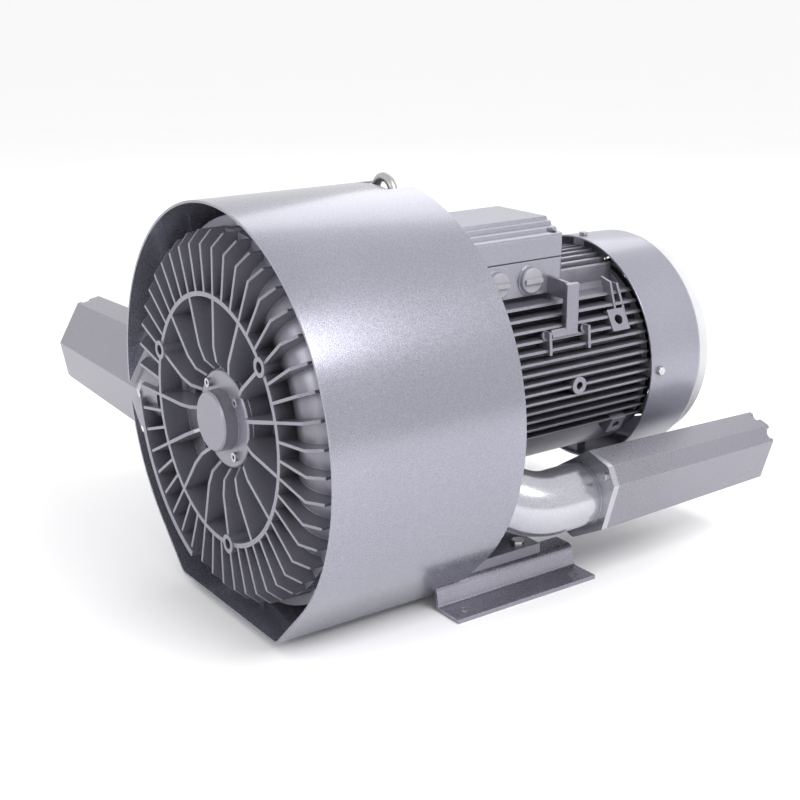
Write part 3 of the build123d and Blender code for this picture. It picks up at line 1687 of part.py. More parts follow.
def save_silencer(plane, name):
    """Shell with its end wall, threaded boss and corner pockets."""
    corner_spots = [
        (x * silencer_taper, y * silencer_taper)
        for x, y in silencer_pockets
    ]
    with BuildPart() as body:
        add(tapered(plane, 0.0, 0.0, silencer_length))
        add(
            tapered(plane, silencer_wall, -1.0, silencer_length - end_wall_t),
            mode=Mode.SUBTRACT,
        )
        with BuildSketch(plane.offset(silencer_length - 1.0)):
            Circle(thread_boss_r)
        extrude(amount=1.0 - thread_length)
        with BuildSketch(plane.offset(silencer_length)):
            Circle(thread_r)
        extrude(amount=-thread_length - 1.0, mode=Mode.SUBTRACT)
        # pockets for the long screws at the far end
        with BuildSketch(plane.offset(silencer_length)):
            with Locations(corner_spots):
                Circle(6.5)
        extrude(amount=1.0 - end_wall_t, mode=Mode.SUBTRACT)
        with BuildSketch(plane):
            with Locations(silencer_screw_spots):
                Circle(5.0)
        extrude(amount=18.0)
        with BuildSketch(plane):
            with Locations(silencer_screw_spots):
                Circle(thread_hole_r)
        extrude(amount=14.0, mode=Mode.SUBTRACT)
    finish(body, name)


outlet_body_plane = outlet_plane.offset(end_flange_t)
inlet_body_plane = inlet_plane.offset(end_flange_t)
save_silencer(outlet_body_plane, "outlet_silencer_body")
save_silencer(inlet_body_plane, "inlet_silencer_body")

with BuildPart() as liners:
    for plane in (outlet_body_plane, inlet_body_plane):
        with BuildSketch(plane.offset(clearance)):
            Circle(liner_r)
            Circle(passage_r, mode=Mode.SUBTRACT)
        extrude(amount=silencer_length - thread_length - 2 * clearance)
finish(liners, "silencer_liners")

with BuildPart() as inlet_flange:
    extrude(silencer_face(inlet_plane, 1.0, 0.0), amount=end_flange_t)
    with BuildSketch(inlet_plane):
        Circle(port_bore_r)
    extrude(amount=-inlet_neck_length)
    with BuildSketch(inlet_plane.offset(end_flange_t)):
        Circle(neck_bore_r)
    extrude(amount=-end_flange_t - inlet_neck_length, mode=Mode.SUBTRACT)
    with BuildSketch(inlet_plane):
        with Locations(silencer_screw_spots):
            Circle(3.0 + clearance)
    extrude(amount=end_flange_t, mode=Mode.SUBTRACT)
    with BuildSketch(inlet_plane):
        with Locations(silencer_screw_spots):
            Circle(5.5)
    extrude(amount=4.2, mode=Mode.SUBTRACT)
finish(inlet_flange, "inlet_flange")

outlet_screw = hex_screw(thread_hole_r - fit, end_flange_t + 12.0, 5.0, 4.0)
inlet_screw = socket_screw(thread_hole_r - fit, end_flange_t - 4.2 + 12.0, 5.0, 4.0)
outlet_back = Plane(origin=outlet_plane.origin, x_dir=outlet_plane.x_dir, z_dir=(0, -1, 0))
inlet_back = Plane(
    origin=inlet_plane.offset(4.2).origin, x_dir=inlet_plane.x_dir, z_dir=(1, 0, 0)
)
flipped_spots = [(x, -y) for x, y in silencer_screw_spots]
save_set(
    [
        *placed(outlet_screw, outlet_back, flipped_spots),
        *placed(inlet_screw, inlet_back, flipped_spots),
    ],
    "silencer_screws",
)


# ---------------------------------------------------------------------------
# Lifting eye
# ---------------------------------------------------------------------------
eye_centre = (0, along(eye_station), axis_height + eye_seat + eye_collar_t + eye_ring_r + 3.0)

with BuildPart() as eye:
    with BuildSketch(Plane(origin=eye_centre)):
        with Locations((eye_ring_r, 0)):
            Circle(eye_wire_r)
    revolve(axis=Axis(eye_centre, (0, 1, 0)))
    with BuildSketch(level(eye_seat)):
        with Locations((0, eye_centre[1])):
            Circle(eye_collar_r)
    extrude(amount=eye_collar_t)
    with BuildSketch(level(eye_seat)):
        with Locations((0, eye_centre[1])):
            Circle(eye_shank_r)
    extrude(amount=-eye_shank_length)
finish(eye, "lifting_eye")


# ---------------------------------------------------------------------------
# Foot rails: a mirror pair of bent Z sections, and their bolts
# ---------------------------------------------------------------------------
half_sheet = rail_sheet / 2

with BuildPart() as right_rail:
    with BuildSketch(
        Plane(origin=(0, along(rail_front), 0), x_dir=(1, 0, 0), z_dir=(0, -1, 0))
    ):
        with BuildLine():
            FilletPolyline(
                (rail_outer_x, half_sheet),
                (rail_web_foot_x - half_sheet, half_sheet),
                (rail_web_top_x - half_sheet, rail_height - half_sheet),
                (rail_top_inner_x, rail_height - half_sheet),
                radius=rail_bend_r + half_sheet,
            )
        trace(line_width=rail_sheet)
    extrude(amount=-rail_length)
    with BuildSketch():
        with GridLocations(hole_spacing_x, hole_spacing_y, 2, 2):
            Circle(foot_hole_r)
    extrude(amount=rail_sheet, mode=Mode.SUBTRACT)
    with BuildSketch(Plane.XY.offset(rail_height)):
        with Locations([(foot_bolt_x, along(station)) for station in foot_bolt_stations]):
            Circle(5.0 + clearance)
    extrude(amount=-rail_sheet, mode=Mode.SUBTRACT)
finish(right_rail, "right_foot_rail")

with BuildPart() as left_rail:
    add(right_rail.part)
    mirror(about=Plane.YZ)
    split(bisect_by=Plane.YZ, keep=Keep.BOTTOM)
finish(left_rail, "left_foot_rail")

with BuildPart() as foot_bolt:
    with BuildSketch():
        RegularPolygon(8.0, 6)
    extrude(amount=6.0)
    chamfer(foot_bolt.faces().sort_by(Axis.Z)[-1].edges(), 0.8)
    Cylinder(5.0, foot_pad_t + rail_sheet + 9.0, align=(Align.CENTER, Align.CENTER, Align.MAX))
    with BuildSketch(Plane.XY.offset(-foot_pad_t - rail_sheet)):
        RegularPolygon(8.0, 6)
    extrude(amount=-7.0)
save_set(
    placed(
        foot_bolt.part,
        level(foot_top + foot_pad_t),
        [(side * foot_bolt_x, along(station)) for side in (1, -1) for station in foot_bolt_stations],
    ),
    "foot_rail_bolts",
)
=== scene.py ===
import json
import math

import bmesh
import bpy
import numpy as np
from mathutils import Matrix, Vector


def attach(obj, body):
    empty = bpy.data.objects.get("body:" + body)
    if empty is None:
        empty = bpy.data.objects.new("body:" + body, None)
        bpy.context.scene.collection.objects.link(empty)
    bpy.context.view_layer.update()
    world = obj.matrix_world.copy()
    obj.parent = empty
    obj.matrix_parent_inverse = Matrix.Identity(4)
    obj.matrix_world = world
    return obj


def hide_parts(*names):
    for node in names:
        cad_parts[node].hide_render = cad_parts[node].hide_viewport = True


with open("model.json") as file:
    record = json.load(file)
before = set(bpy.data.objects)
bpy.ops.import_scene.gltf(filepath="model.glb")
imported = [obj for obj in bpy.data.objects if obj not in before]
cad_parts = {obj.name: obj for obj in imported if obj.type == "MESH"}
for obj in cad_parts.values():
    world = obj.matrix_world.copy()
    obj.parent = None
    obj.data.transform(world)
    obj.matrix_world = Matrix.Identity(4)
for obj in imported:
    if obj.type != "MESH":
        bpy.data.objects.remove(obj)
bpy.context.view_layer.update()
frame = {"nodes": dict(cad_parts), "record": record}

# ---------------------------------------------------------------------------
# Sizes in metres, in the frame of the CAD nodes. Stations run along the shaft
# from the shroud's front rim. The axis's height is above the floor, and all
# other heights are above the axis.
# ---------------------------------------------------------------------------
MM = 0.001
AXIS_HEIGHT = 226 * MM
FOOT_MID_STATION = 292.5 * MM
SHAFT_WAY = (0.0, 1.0, 0.0)

# CAD corners that share a cell of this size are joined
MERGE_STEP = 0.01 * MM
# Edges sharper than this stay sharp in the shading
CREASE = math.radians(26)
# Steps round the shaft for large turned pieces, for thin rings, and round a wire
ROUND_STEPS = 192
RING_STEPS = 128
WIRE_STEPS = 12
# Radius of a rod's end once it is closed
CLOSED_END = 1e-6


# ---------------------------------------------------------------------------
# Shader maths
# ---------------------------------------------------------------------------
class Signal:
    """A node's output that takes part in Python expressions. Each operator adds one Math node."""

    def __init__(self, finish, socket):
        self.finish = finish
        self.socket = socket

    def math(self, operation, first, second):
        """A Math node with this operation on two signals or numbers."""
        return self.finish.add("ShaderNodeMath", {"operation": operation}, {0: first, 1: second})

    def __add__(self, other):
        return self.math("ADD", self, other)

    def __radd__(self, other):
        return self.math("ADD", other, self)

    def __sub__(self, other):
        return self.math("SUBTRACT", self, other)

    def __rsub__(self, other):
        return self.math("SUBTRACT", other, self)

    def __mul__(self, other):
        return self.math("MULTIPLY", self, other)

    def __rmul__(self, other):
        return self.math("MULTIPLY", other, self)

    def limited(self, low, high):
        """The value stretched so that low becomes 0 and high becomes 1, and held between them."""
        inputs = {0: self, 1: low, 2: high, 3: 0.0, 4: 1.0}
        return self.finish.add("ShaderNodeMapRange", {"clamp": True}, inputs)


# How far the eased normal turns from the flat one, as 1 less their product: none, full edge
EDGE_TURN = (0.01, 0.16)
# Share of the sky that is hidden: none and full of the recess mask (painted shade on paint, dust
# on mouldings)
HIDDEN_SHARE = (0.36, 0.82)
# The middle of a noise's range, which is stretched where its patches are to show clearly
NOISE_MIDDLE = (0.3, 0.7)


class Finish:
    """One material, with the one method that adds any node to it."""

    def __init__(self, name):
        self.material = bpy.data.materials.new(name)
        self.material.use_nodes = True
        self.tree = self.material.node_tree
        self.tree.nodes.clear()
        self.place = self.add("ShaderNodeTexCoord", output="Object")

    def add(self, kind, settings=(), inputs=(), output=0):
        """A node of a type: its settings are made first, then its sockets' values or links."""
        node = self.tree.nodes.new(kind)
        for key, value in dict(settings).items():
            setattr(node, key, value)
        for key, value in dict(inputs).items():
            if isinstance(value, Signal):
                self.tree.links.new(value.socket, node.inputs[key])
            else:
                node.inputs[key].default_value = value
        return Signal(self, node.outputs[output])

    def noise(self, scale, detail=2.0, roughness=0.5, place=None):
        """Noise from 0 to 1, with about scale lumps to a metre."""
        inputs = {
            "Vector": place or self.place,
            "Scale": scale,
            "Detail": detail,
            "Roughness": roughness,
        }
        return self.add("ShaderNodeTexNoise", {}, inputs)

    def mix(self, share, first, second):
        """Second colour laid over the first by a share from 0 to 1."""
        settings = {"data_type": "RGBA", "clamp_factor": True}
        return self.add("ShaderNodeMix", settings, {0: share, 6: first, 7: second}, 2)

    def rounded(self, radius):
        """The surface's normal with its edges eased by a radius."""
        return self.add("ShaderNodeBevel", {"samples": 4}, {"Radius": radius})

    def bumped(self, strength, depth, height, normal=None):
        """The surface's normal, or a given one, tilted by a height of 0 to 1 over a depth."""
        inputs = {"Strength": strength, "Distance": depth, "Height": height}
        if normal is not None:
            inputs["Normal"] = normal
        return self.add("ShaderNodeBump", {}, inputs)

    def edges(self, eased):
        """1 along the edges that the eased normal turns round, and 0 on the flats."""
        flat = self.add("ShaderNodeNewGeometry", output="Normal")
        product = {"operation": "DOT_PRODUCT"}
        same = self.add("ShaderNodeVectorMath", product, {0: eased, 1: flat}, 1)
        return (1 - same).limited(*EDGE_TURN)

    def recess(self, reach):
        """1 deep in corners and recesses, and 0 in the open, from ambient occlusion: painted shade
        in recesses on paint, darker recesses on bare metal and dust on mouldings.
        """
        settings = {"samples": 6, "only_local": True}
        open_share = self.add("ShaderNodeAmbientOcclusion", settings, {"Distance": reach}, 1)
        return (1 - open_share).limited(*HIDDEN_SHARE)

    def close(self, **sockets):
        """Ends the material in a Principled shader with these sockets."""
        named = {key.replace("_", " "): value for key, value in sockets.items()}
        shader = self.add("ShaderNodeBsdfPrincipled", {}, named)
        end = self.tree.nodes.new("ShaderNodeOutputMaterial")
        self.tree.links.new(shader.socket, end.inputs["Surface"])
        return self.material


def shade(colour, factor=1.0, lift=0.0):
    """A colour times a factor plus a lift, held at white, with the alpha that sockets want."""
    return (*(min(1.0, factor * share + lift) for share in colour), 1)


# ---------------------------------------------------------------------------
# Recipes. Scales are lumps or lines to a metre; reaches are how far the darkening of a
# recess spreads out of a corner: painted shade on paint, dust on mouldings.
# ---------------------------------------------------------------------------
FLAKE_SCALE = 1600.0
PAINT_CLOUD_SCALE = 5.0
PAINT_SPECK_SCALE = 420.0
# Painted shade in recesses: the scale of its patches, its reach out of a corner and its near-black
# colour
PAINT_SHADE_PATCH_SCALE = 60.0
PAINT_SHADE_REACH = 22 * MM
PAINT_RECESS_SHADE = (0.025, 0.024, 0.028, 1)
# Pale colour laid on edges in specks: wear and painted highlight
EDGE_WEAR_AND_HIGHLIGHT = (0.80, 0.80, 0.83, 1)
COAT_ROUGHNESS = 0.12

METAL_LINE_STRETCH = (1, 14, 1)
METAL_LINE_DEPTH = 0.05 * MM
METAL_CLOUD_SCALE = 55.0
METAL_SPOT_SCALE = 260.0
# Darker in recesses: the reach out of a corner and the near-black colour
METAL_RECESS_REACH = 5 * MM
METAL_RECESS_DARK = (0.05, 0.048, 0.045, 1)

MOTTLE_SCALE = 30.0
PLASTIC_DUST_SCALE = 90.0
PLASTIC_DUST_REACH = 8 * MM
PLASTIC_DUST = (0.20, 0.19, 0.18, 1)

STRAND_SCALE = 180.0
STRAND_DEPTH = 0.4 * MM
VARNISH = (0.16, 0.05, 0.02, 1)
COPPER = (0.62, 0.26, 0.11, 1)

SHEET_SCALE = 320.0
SHEET_DEPTH = 0.1 * MM
OXIDE_SCALE = 80.0
SHEET_GAP = (0.10, 0.10, 0.11, 1)
SHEET_EDGE = (0.34, 0.34, 0.36, 1)


def metal_flake_paint(name, colour, roughness, texture_size, texture_depth, edge, coat, shine):
    """Sprayed silver-grey paint: fine flakes, slow cloudiness, painted shade in recesses, edges
    lightened by wear and painted highlight.
    """
    paint = Finish(name)
    where = {"Vector": paint.place, "Scale": FLAKE_SCALE}
    sparkle = paint.add("ShaderNodeTexVoronoi", {}, where, "Color").limited(0.15, 0.95)
    cloud = paint.noise(PAINT_CLOUD_SCALE, 1.0)
    grain = paint.noise(1.0 / texture_size, 4.0, 0.6)
    speck = paint.noise(PAINT_SPECK_SCALE, 2.0)
    # Painted shade in recesses, in patches, from ambient occlusion: it darkens the colour towards
    # near black and roughens the coat
    dust_and_shade_patches = 0.8 + 0.3 * paint.noise(PAINT_SHADE_PATCH_SCALE, 4.0)
    dust_and_shade = paint.recess(PAINT_SHADE_REACH) * dust_and_shade_patches
    eased = paint.rounded(edge)
    # Edges lightened in specks: wear and painted highlight
    edges = paint.edges(eased) * speck.limited(*NOISE_MIDDLE)
    brightness = 0.55 * sparkle + 0.25 * cloud.limited(*NOISE_MIDDLE)
    body = paint.mix(brightness, shade(colour, 0.78), shade(colour, 1.24))
    dusted_and_shaded = paint.mix(dust_and_shade * 0.85, body, PAINT_RECESS_SHADE)
    return paint.close(
        Base_Color=paint.mix(edges * 0.5, dusted_and_shaded, EDGE_WEAR_AND_HIGHLIGHT),
        Roughness=roughness + 0.10 * (cloud - 0.5) + 0.20 * dust_and_shade + 0.10 * (sparkle - 0.5),
        Metallic=shine,
        Coat_Weight=coat,
        Coat_Roughness=COAT_ROUGHNESS,
        Normal=paint.bumped(0.55, texture_depth, grain + 0.15 * sparkle, eased),
    )


def bare_metal(name, colour, roughness, line_scale, edge):
    """Plated, turned or ground metal: fine lines across the shaft, cloudiness and dull spots."""
    metal = Finish(name)
    where = {"Vector": metal.place, "Scale": METAL_LINE_STRETCH}
    stretched = metal.add("ShaderNodeMapping", {"vector_type": "POINT"}, where)
    lines = metal.noise(line_scale, 3.0, 0.6, stretched)
    cloud = metal.noise(METAL_CLOUD_SCALE, 3.0)
    dull = metal.noise(METAL_SPOT_SCALE, 3.0).limited(0.52, 0.75)
    # Darker in recesses, from ambient occlusion: it darkens the colour towards near black and
    # roughens the metal
    dust_and_shade = metal.recess(METAL_RECESS_REACH)
    eased = metal.rounded(edge)
    tone = metal.mix(cloud.limited(*NOISE_MIDDLE), shade(colour, 0.72), shade(colour))
    spotted = metal.mix(dull * 0.35, tone, shade(colour, 0.5))
    return metal.close(
        Base_Color=metal.mix(dust_and_shade * 0.6, spotted, METAL_RECESS_DARK),
        Roughness=roughness + 0.22 * (lines - 0.5) + 0.15 * dull + 0.2 * dust_and_shade,
        Metallic=1.0,
        Normal=metal.bumped(0.35, METAL_LINE_DEPTH, lines, eased),
    )


def moulded(name, colour, roughness, texture_size, texture_depth, edge, sheen=0.0):
    """Moulded plastic, rubber or foam: a fine texture, faint mottling and dust in the corners."""
    plastic = Finish(name)
    grain = plastic.noise(1.0 / texture_size, 4.0, 0.65)
    mottle = plastic.noise(MOTTLE_SCALE, 3.0).limited(*NOISE_MIDDLE)
    dust_and_shade_patches = 0.4 + 0.6 * plastic.noise(PLASTIC_DUST_SCALE, 3.0)
    dust_and_shade = plastic.recess(PLASTIC_DUST_REACH) * dust_and_shade_patches
    eased = plastic.rounded(edge)
    # Edges lightened all along: rubbed wear and painted highlight
    edges = plastic.edges(eased)
    tone = plastic.mix(mottle * 0.6 + 0.4 * grain, shade(colour, 0.82), shade(colour))
    dusted_and_shaded = plastic.mix(dust_and_shade * 0.3, tone, PLASTIC_DUST)
    return plastic.close(
        Base_Color=plastic.mix(edges * 0.25, dusted_and_shaded, shade(colour, 1.5, 0.05)),
        Roughness=roughness + 0.16 * (grain - 0.5) + 0.1 * dust_and_shade,
        Sheen_Weight=sheen,
        Normal=plastic.bumped(0.5, texture_depth, grain, eased),
    )


def wound_copper(name):
    """Varnished winding: strands that run round the shaft, with darker varnish between them."""
    copper = Finish(name)
    strands = copper.add(
        "ShaderNodeTexWave",
        {"wave_type": "RINGS", "rings_direction": "Y"},
        {"Vector": copper.place, "Scale": STRAND_SCALE, "Distortion": 1.5, "Detail": 2.0},
        "Fac",
    )
    return copper.close(
        Base_Color=copper.mix(strands, VARNISH, COPPER),
        Roughness=0.34 + 0.2 * strands,
        Metallic=0.8,
        Coat_Weight=0.5,
        Normal=copper.bumped(0.6, STRAND_DEPTH, strands),
    )


def stacked_sheet(name):
    """Core of stacked sheets: fine lines square to the shaft, with a blue-grey oxide on them."""
    core = Finish(name)
    sheets = core.add(
        "ShaderNodeTexWave",
        {"wave_type": "BANDS", "bands_direction": "Y"},
        {"Vector": core.place, "Scale": SHEET_SCALE, "Distortion": 0.4},
        "Fac",
    )
    oxide = core.noise(OXIDE_SCALE, 3.0)
    return core.close(
        Base_Color=core.mix(sheets * oxide, SHEET_GAP, SHEET_EDGE),
        Roughness=0.42 + 0.2 * oxide,
        Metallic=0.9,
        Normal=core.bumped(0.5, SHEET_DEPTH, sheets),
    )


SILVER = (0.305, 0.304, 0.362)

# Colour, roughness, texture size, texture depth, edge radius, coat, metallic share
PAINTS = {
    "shroud_paint": (SILVER, 0.27, 2.2 * MM, 0.015 * MM, 0.8 * MM, 0.35, 0.72),
    "casing_paint": ((0.262, 0.258, 0.305), 0.36, 1.4 * MM, 0.16 * MM, 1.2 * MM, 0.12, 0.55),
    "motor_paint": ((0.258, 0.252, 0.298), 0.35, 1.6 * MM, 0.14 * MM, 1.2 * MM, 0.15, 0.55),
    "cowl_paint": (SILVER, 0.34, 2.0 * MM, 0.05 * MM, 1.0 * MM, 0.25, 0.6),
    "box_paint": (SILVER, 0.34, 1.6 * MM, 0.04 * MM, 1.4 * MM, 0.2, 0.58),
    "elbow_paint": ((0.50, 0.50, 0.55), 0.20, 1.8 * MM, 0.05 * MM, 1.4 * MM, 0.45, 0.85),
    "silencer_paint": ((0.262, 0.256, 0.297), 0.32, 1.2 * MM, 0.05 * MM, 1.6 * MM, 0.2, 0.6),
    "rail_paint": ((0.295, 0.288, 0.342), 0.26, 2.0 * MM, 0.03 * MM, 0.8 * MM, 0.35, 0.72),
}

# Colour, roughness, line scale, edge radius
METALS = {
    "eye_steel": ((0.50, 0.50, 0.50), 0.40, 300.0, 0.8 * MM),
    "zinc_steel": ((0.66, 0.66, 0.68), 0.33, 500.0, 0.5 * MM),
    "bearing_steel": ((0.62, 0.62, 0.63), 0.22, 700.0, 0.4 * MM),
    "impeller_aluminium": ((0.72, 0.72, 0.74), 0.45, 350.0, 0.6 * MM),
    "stud_brass": ((0.72, 0.52, 0.22), 0.30, 600.0, 0.3 * MM),
}

# Colour, roughness, texture size, texture depth, edge radius, and sheen where there is any
MOULDINGS = {
    "fan_plastic": ((0.030, 0.030, 0.032), 0.5, 0.8 * MM, 0.05 * MM, 0.8 * MM),
    "guard_plastic": ((0.60, 0.60, 0.62), 0.45, 0.8 * MM, 0.04 * MM, 0.6 * MM),
    "plug_plastic": ((0.34, 0.335, 0.37), 0.42, 0.7 * MM, 0.04 * MM, 0.8 * MM),
    "black_rubber": ((0.022, 0.022, 0.022), 0.7, 0.5 * MM, 0.05 * MM, 0.4 * MM, 0.2),
    "block_plastic": ((0.05, 0.045, 0.04), 0.4, 0.6 * MM, 0.04 * MM, 0.6 * MM),
    "liner_foam": ((0.06, 0.06, 0.065), 0.95, 2.6 * MM, 1.2 * MM, 1.0 * MM, 0.3),
}

finishes = {slot: metal_flake_paint(slot, *look) for slot, look in PAINTS.items()}
finishes.update({slot: bare_metal(slot, *look) for slot, look in METALS.items()})
finishes.update({slot: moulded(slot, *look) for slot, look in MOULDINGS.items()})
finishes["core_steel"] = stacked_sheet("core_steel")
finishes["winding_copper"] = wound_copper("winding_copper")


# ---------------------------------------------------------------------------
# Pieces
# ---------------------------------------------------------------------------
slot_of = {part["node"]: part["material_slot"] for part in frame["record"]["subparts"]}
body_of = {
    node: body
    for body, members in frame["record"]["behaviour"]["bodies"].items()
    for node in members
}


def settle(mesh, name, node, instead=True):
    """Puts a finished mesh in place of a CAD node or beside it, with that node's body and finish,
    smooth except along edges sharper than the crease."""
    mesh.shade_smooth()
    mesh.set_sharp_from_angle(angle=CREASE)
    piece = bpy.data.objects.new(name, mesh)
    bpy.context.scene.collection.objects.link(piece)
    mesh.materials.append(finishes[slot_of[node]])
    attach(piece, body_of[node])
    if instead:
        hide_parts(node)


def dressed(node):
    """A CAD node's shape with its loose triangles joined: corners that fall in the same cell of
    MERGE_STEP become one, and triangles that lose a corner by it go."""
    source = frame["nodes"][node].data
    corners = np.empty(len(source.vertices) * 3, np.float32)
    source.vertices.foreach_get("co", corners)
    corners = corners.reshape(-1, 3)
    triangles = np.empty(len(source.loops), np.int32)
    source.loops.foreach_get("vertex_index", triangles)
    cells = np.round(corners / MERGE_STEP).astype(np.int64)
    _, first, joined = np.unique(cells, axis=0, return_index=True, return_inverse=True)
    faces = joined.reshape(-1)[triangles].reshape(-1, 3)
    whole = (faces != np.roll(faces, -1, 1)).all(1)
    name = node + "_finished"
    mesh = bpy.data.meshes.new(name)
    mesh.from_pydata(corners[first], [], faces[whole])
    mesh.validate()
    settle(mesh, name, node)


def row(station):
    """Y of a station."""
    return station - FOOT_MID_STATION


def joined_shells(shells):
    """Several grids of corners, each closed in both directions, as one array and its quads."""
    points, faces, count = [], [], 0
    for shell in shells:
        rows, columns = shell.shape[:2]
        number = np.arange(rows * columns).reshape(rows, columns)
        below = np.roll(number, -1, 0)
        corners = (number, np.roll(number, -1, 1), np.roll(below, -1, 1), below)
        points.append(shell.reshape(-1, 3))
        faces.append(np.stack(corners, -1).reshape(-1, 4) + count)
        count += rows * columns
    return np.concatenate(points), np.concatenate(faces)


def save_shells(name, node, shells, instead=True):
    """One piece of closed shells in place of a CAD node or beside it, faces turned outwards."""
    points, faces = joined_shells(shells)
    mesh = bpy.data.meshes.new(name)
    mesh.from_pydata(points, [], faces)
    shape = bmesh.new()
    shape.from_mesh(mesh)
    bmesh.ops.remove_doubles(shape, verts=shape.verts, dist=MERGE_STEP)
    bare_edges = [edge for edge in shape.edges if not edge.link_faces]
    bmesh.ops.delete(shape, geom=bare_edges, context="EDGES")
    bmesh.ops.recalc_face_normals(shape, faces=shape.faces)
    shape.to_mesh(mesh)
    shape.free()
    settle(mesh, name, node, instead)


def around(steps):
    """Angles of even steps round a full turn."""
    return np.linspace(0, 2 * np.pi, steps, endpoint=False)


def turned(profile, steps=ROUND_STEPS):
    """A closed profile of (station, radius) corners carried round the shaft: x is the radius times
    the cosine of the turn, z is the radius times its sine above the shaft."""
    stations, radii = np.array(profile).T
    turn = around(steps)[:, None]
    x = radii * np.cos(turn)
    y = np.broadcast_to(row(stations), x.shape)
    z = AXIS_HEIGHT + radii * np.sin(turn)
    return np.stack((x, y, z), -1)


def wire_ring(station, radius, wire):
    """A ring of round wire about the shaft: the profile is a small circle of the wire's radius."""
    angle = around(WIRE_STEPS)
    profile = np.stack((station + wire * np.cos(angle), radius + wire * np.sin(angle)), -1)
    return turned(profile, RING_STEPS)


def rod(start, end, radius):
    """A round rod square to the shaft: the directions across it are the shaft's and the one square
    to both. Circles of the radius stand at its ends, and circles shrunk to nothing close them."""
    start, end = np.array(start), np.array(end)
    way = (end - start) / np.linalg.norm(end - start)
    side = np.cross(way, SHAFT_WAY)
    other = np.cross(way, side)
    angle = around(WIRE_STEPS)[None, :, None]
    circle = side * np.cos(angle) + other * np.sin(angle)
    spots = np.array([start, start, end, end])[:, None, :]
    sizes = np.array([CLOSED_END, radius, radius, CLOSED_END])[:, None, None]
    return spots + sizes * circle


# Lifting eye: a forged ring that thickens to its foot, a collar and a shank
EYE_STATION = 215 * MM
EYE_SEAT = 194 * MM
EYE_RING_RADIUS = 17.5 * MM
EYE_RING_STEPS = 128
EYE_WIRE = 5 * MM
EYE_WIRE_STEPS = 32
EYE_CENTRE = 218.5 * MM
# The foot's place on the ring, the swell there, its spread in radians and its share inwards
EYE_FOOT_TURN = 1.5 * np.pi
EYE_FOOT_SWELL = 1.4 * MM
EYE_SWELL_SPREAD = 0.45
EYE_SWELL_INWARDS = 0.4
# Shank and collar: height above the seat and radius, in millimetres, closed along the middle
EYE_STEM = (
    (-20, 4.0),
    (-19, 5.0),
    (0, 5.0),
    (0, 10.4),
    (0.8, 11.0),
    (3.0, 11.0),
    (3.8, 10.4),
    (5.5, 6.8),
    (6.5, 0.0),
    (-20, 0.0),
)
EYE_STEM_STEPS = 96


def eye_forging():
    """Ring: for a turn u round the hole and v round the wire, the distance from the hole's axis
    is the ring radius plus the wire's radius times cos v, and the depth is the wire's radius
    times sin v; the wire swells by a bell curve about the foot. Collar and shank are turned."""
    u, v = np.meshgrid(around(EYE_RING_STEPS), around(EYE_WIRE_STEPS), indexing="ij")
    from_foot = np.abs((u - EYE_FOOT_TURN + np.pi) % (2 * np.pi) - np.pi)
    swell = EYE_FOOT_SWELL * np.exp(-((from_foot / EYE_SWELL_SPREAD) ** 2))
    wire = EYE_WIRE + swell
    reach = EYE_RING_RADIUS - swell * EYE_SWELL_INWARDS + wire * np.cos(v)
    ring = np.stack(
        (
            reach * np.cos(u),
            row(EYE_STATION) + wire * np.sin(v),
            AXIS_HEIGHT + EYE_CENTRE + reach * np.sin(u),
        ),
        -1,
    )
    heights, radii = np.array(EYE_STEM).T * MM
    turn = around(EYE_STEM_STEPS)[:, None]
    x = radii * np.cos(turn)
    y = row(EYE_STATION) + radii * np.sin(turn)
    z = np.broadcast_to(AXIS_HEIGHT + (EYE_SEAT + heights), x.shape)
    save_shells("lifting_eye_forging", "lifting_eye", [ring, np.stack((x, y, z), -1)])


# Fan cowl: pressed sheet with a slight taper and a rounded rear rim
COWL_FRONT = 494 * MM
COWL_REAR = 583 * MM
COWL_RADIUS = 140 * MM
COWL_TAPER = 2 * MM
COWL_SHEET = 2 * MM
COWL_RIM = 12 * MM
COWL_RIM_STEPS = 12
COWL_EDGE = 0.3 * MM
COWL_OPENING = 104 * MM


def rim_arc(radius):
    """The rear rim's quarter circle of (station, radius) corners, from its top to its back: the
    rim's centre plus the arc's radius times the cosine and the sine."""
    angle = np.radians(np.linspace(90, 0, COWL_RIM_STEPS))
    stations = COWL_REAR - COWL_RIM + radius * np.cos(angle)
    radii = COWL_RADIUS - COWL_TAPER - COWL_RIM + radius * np.sin(angle)
    return list(zip(stations, radii))


def cowl_pressing():
    """The sheet's outer line runs back with its taper, turns through a quarter circle to the
    opening and comes back inside by the sheet's thickness; the line is carried round the shaft."""
    profile = [
        (COWL_FRONT, COWL_RADIUS - COWL_EDGE),
        (COWL_FRONT + COWL_EDGE, COWL_RADIUS),
        *rim_arc(COWL_RIM),
        (COWL_REAR, COWL_OPENING),
        (COWL_REAR - COWL_SHEET, COWL_OPENING),
        *rim_arc(COWL_RIM - COWL_SHEET)[::-1],
        (COWL_FRONT, COWL_RADIUS - COWL_SHEET),
    ]
    save_shells("fan_cowl_pressing", "fan_cowl", [turned(profile)])


# Fan guard: rings and spokes of round bar behind a band
GUARD_RADIUS = 130 * MM
GUARD_BAND = 4 * MM
GUARD_BAND_EASE = 0.8 * MM
GUARD_DEPTH = 15 * MM
GUARD_WIRE = 1.5 * MM
GUARD_RINGS = 14
GUARD_FIRST_RING = 18 * MM
GUARD_SPOKES = 24
GUARD_SPOKE_WIRE = 0.95 * GUARD_WIRE
GUARD_SPOKE_START = 17 * MM
GUARD_SPOKE_END = 128 * MM


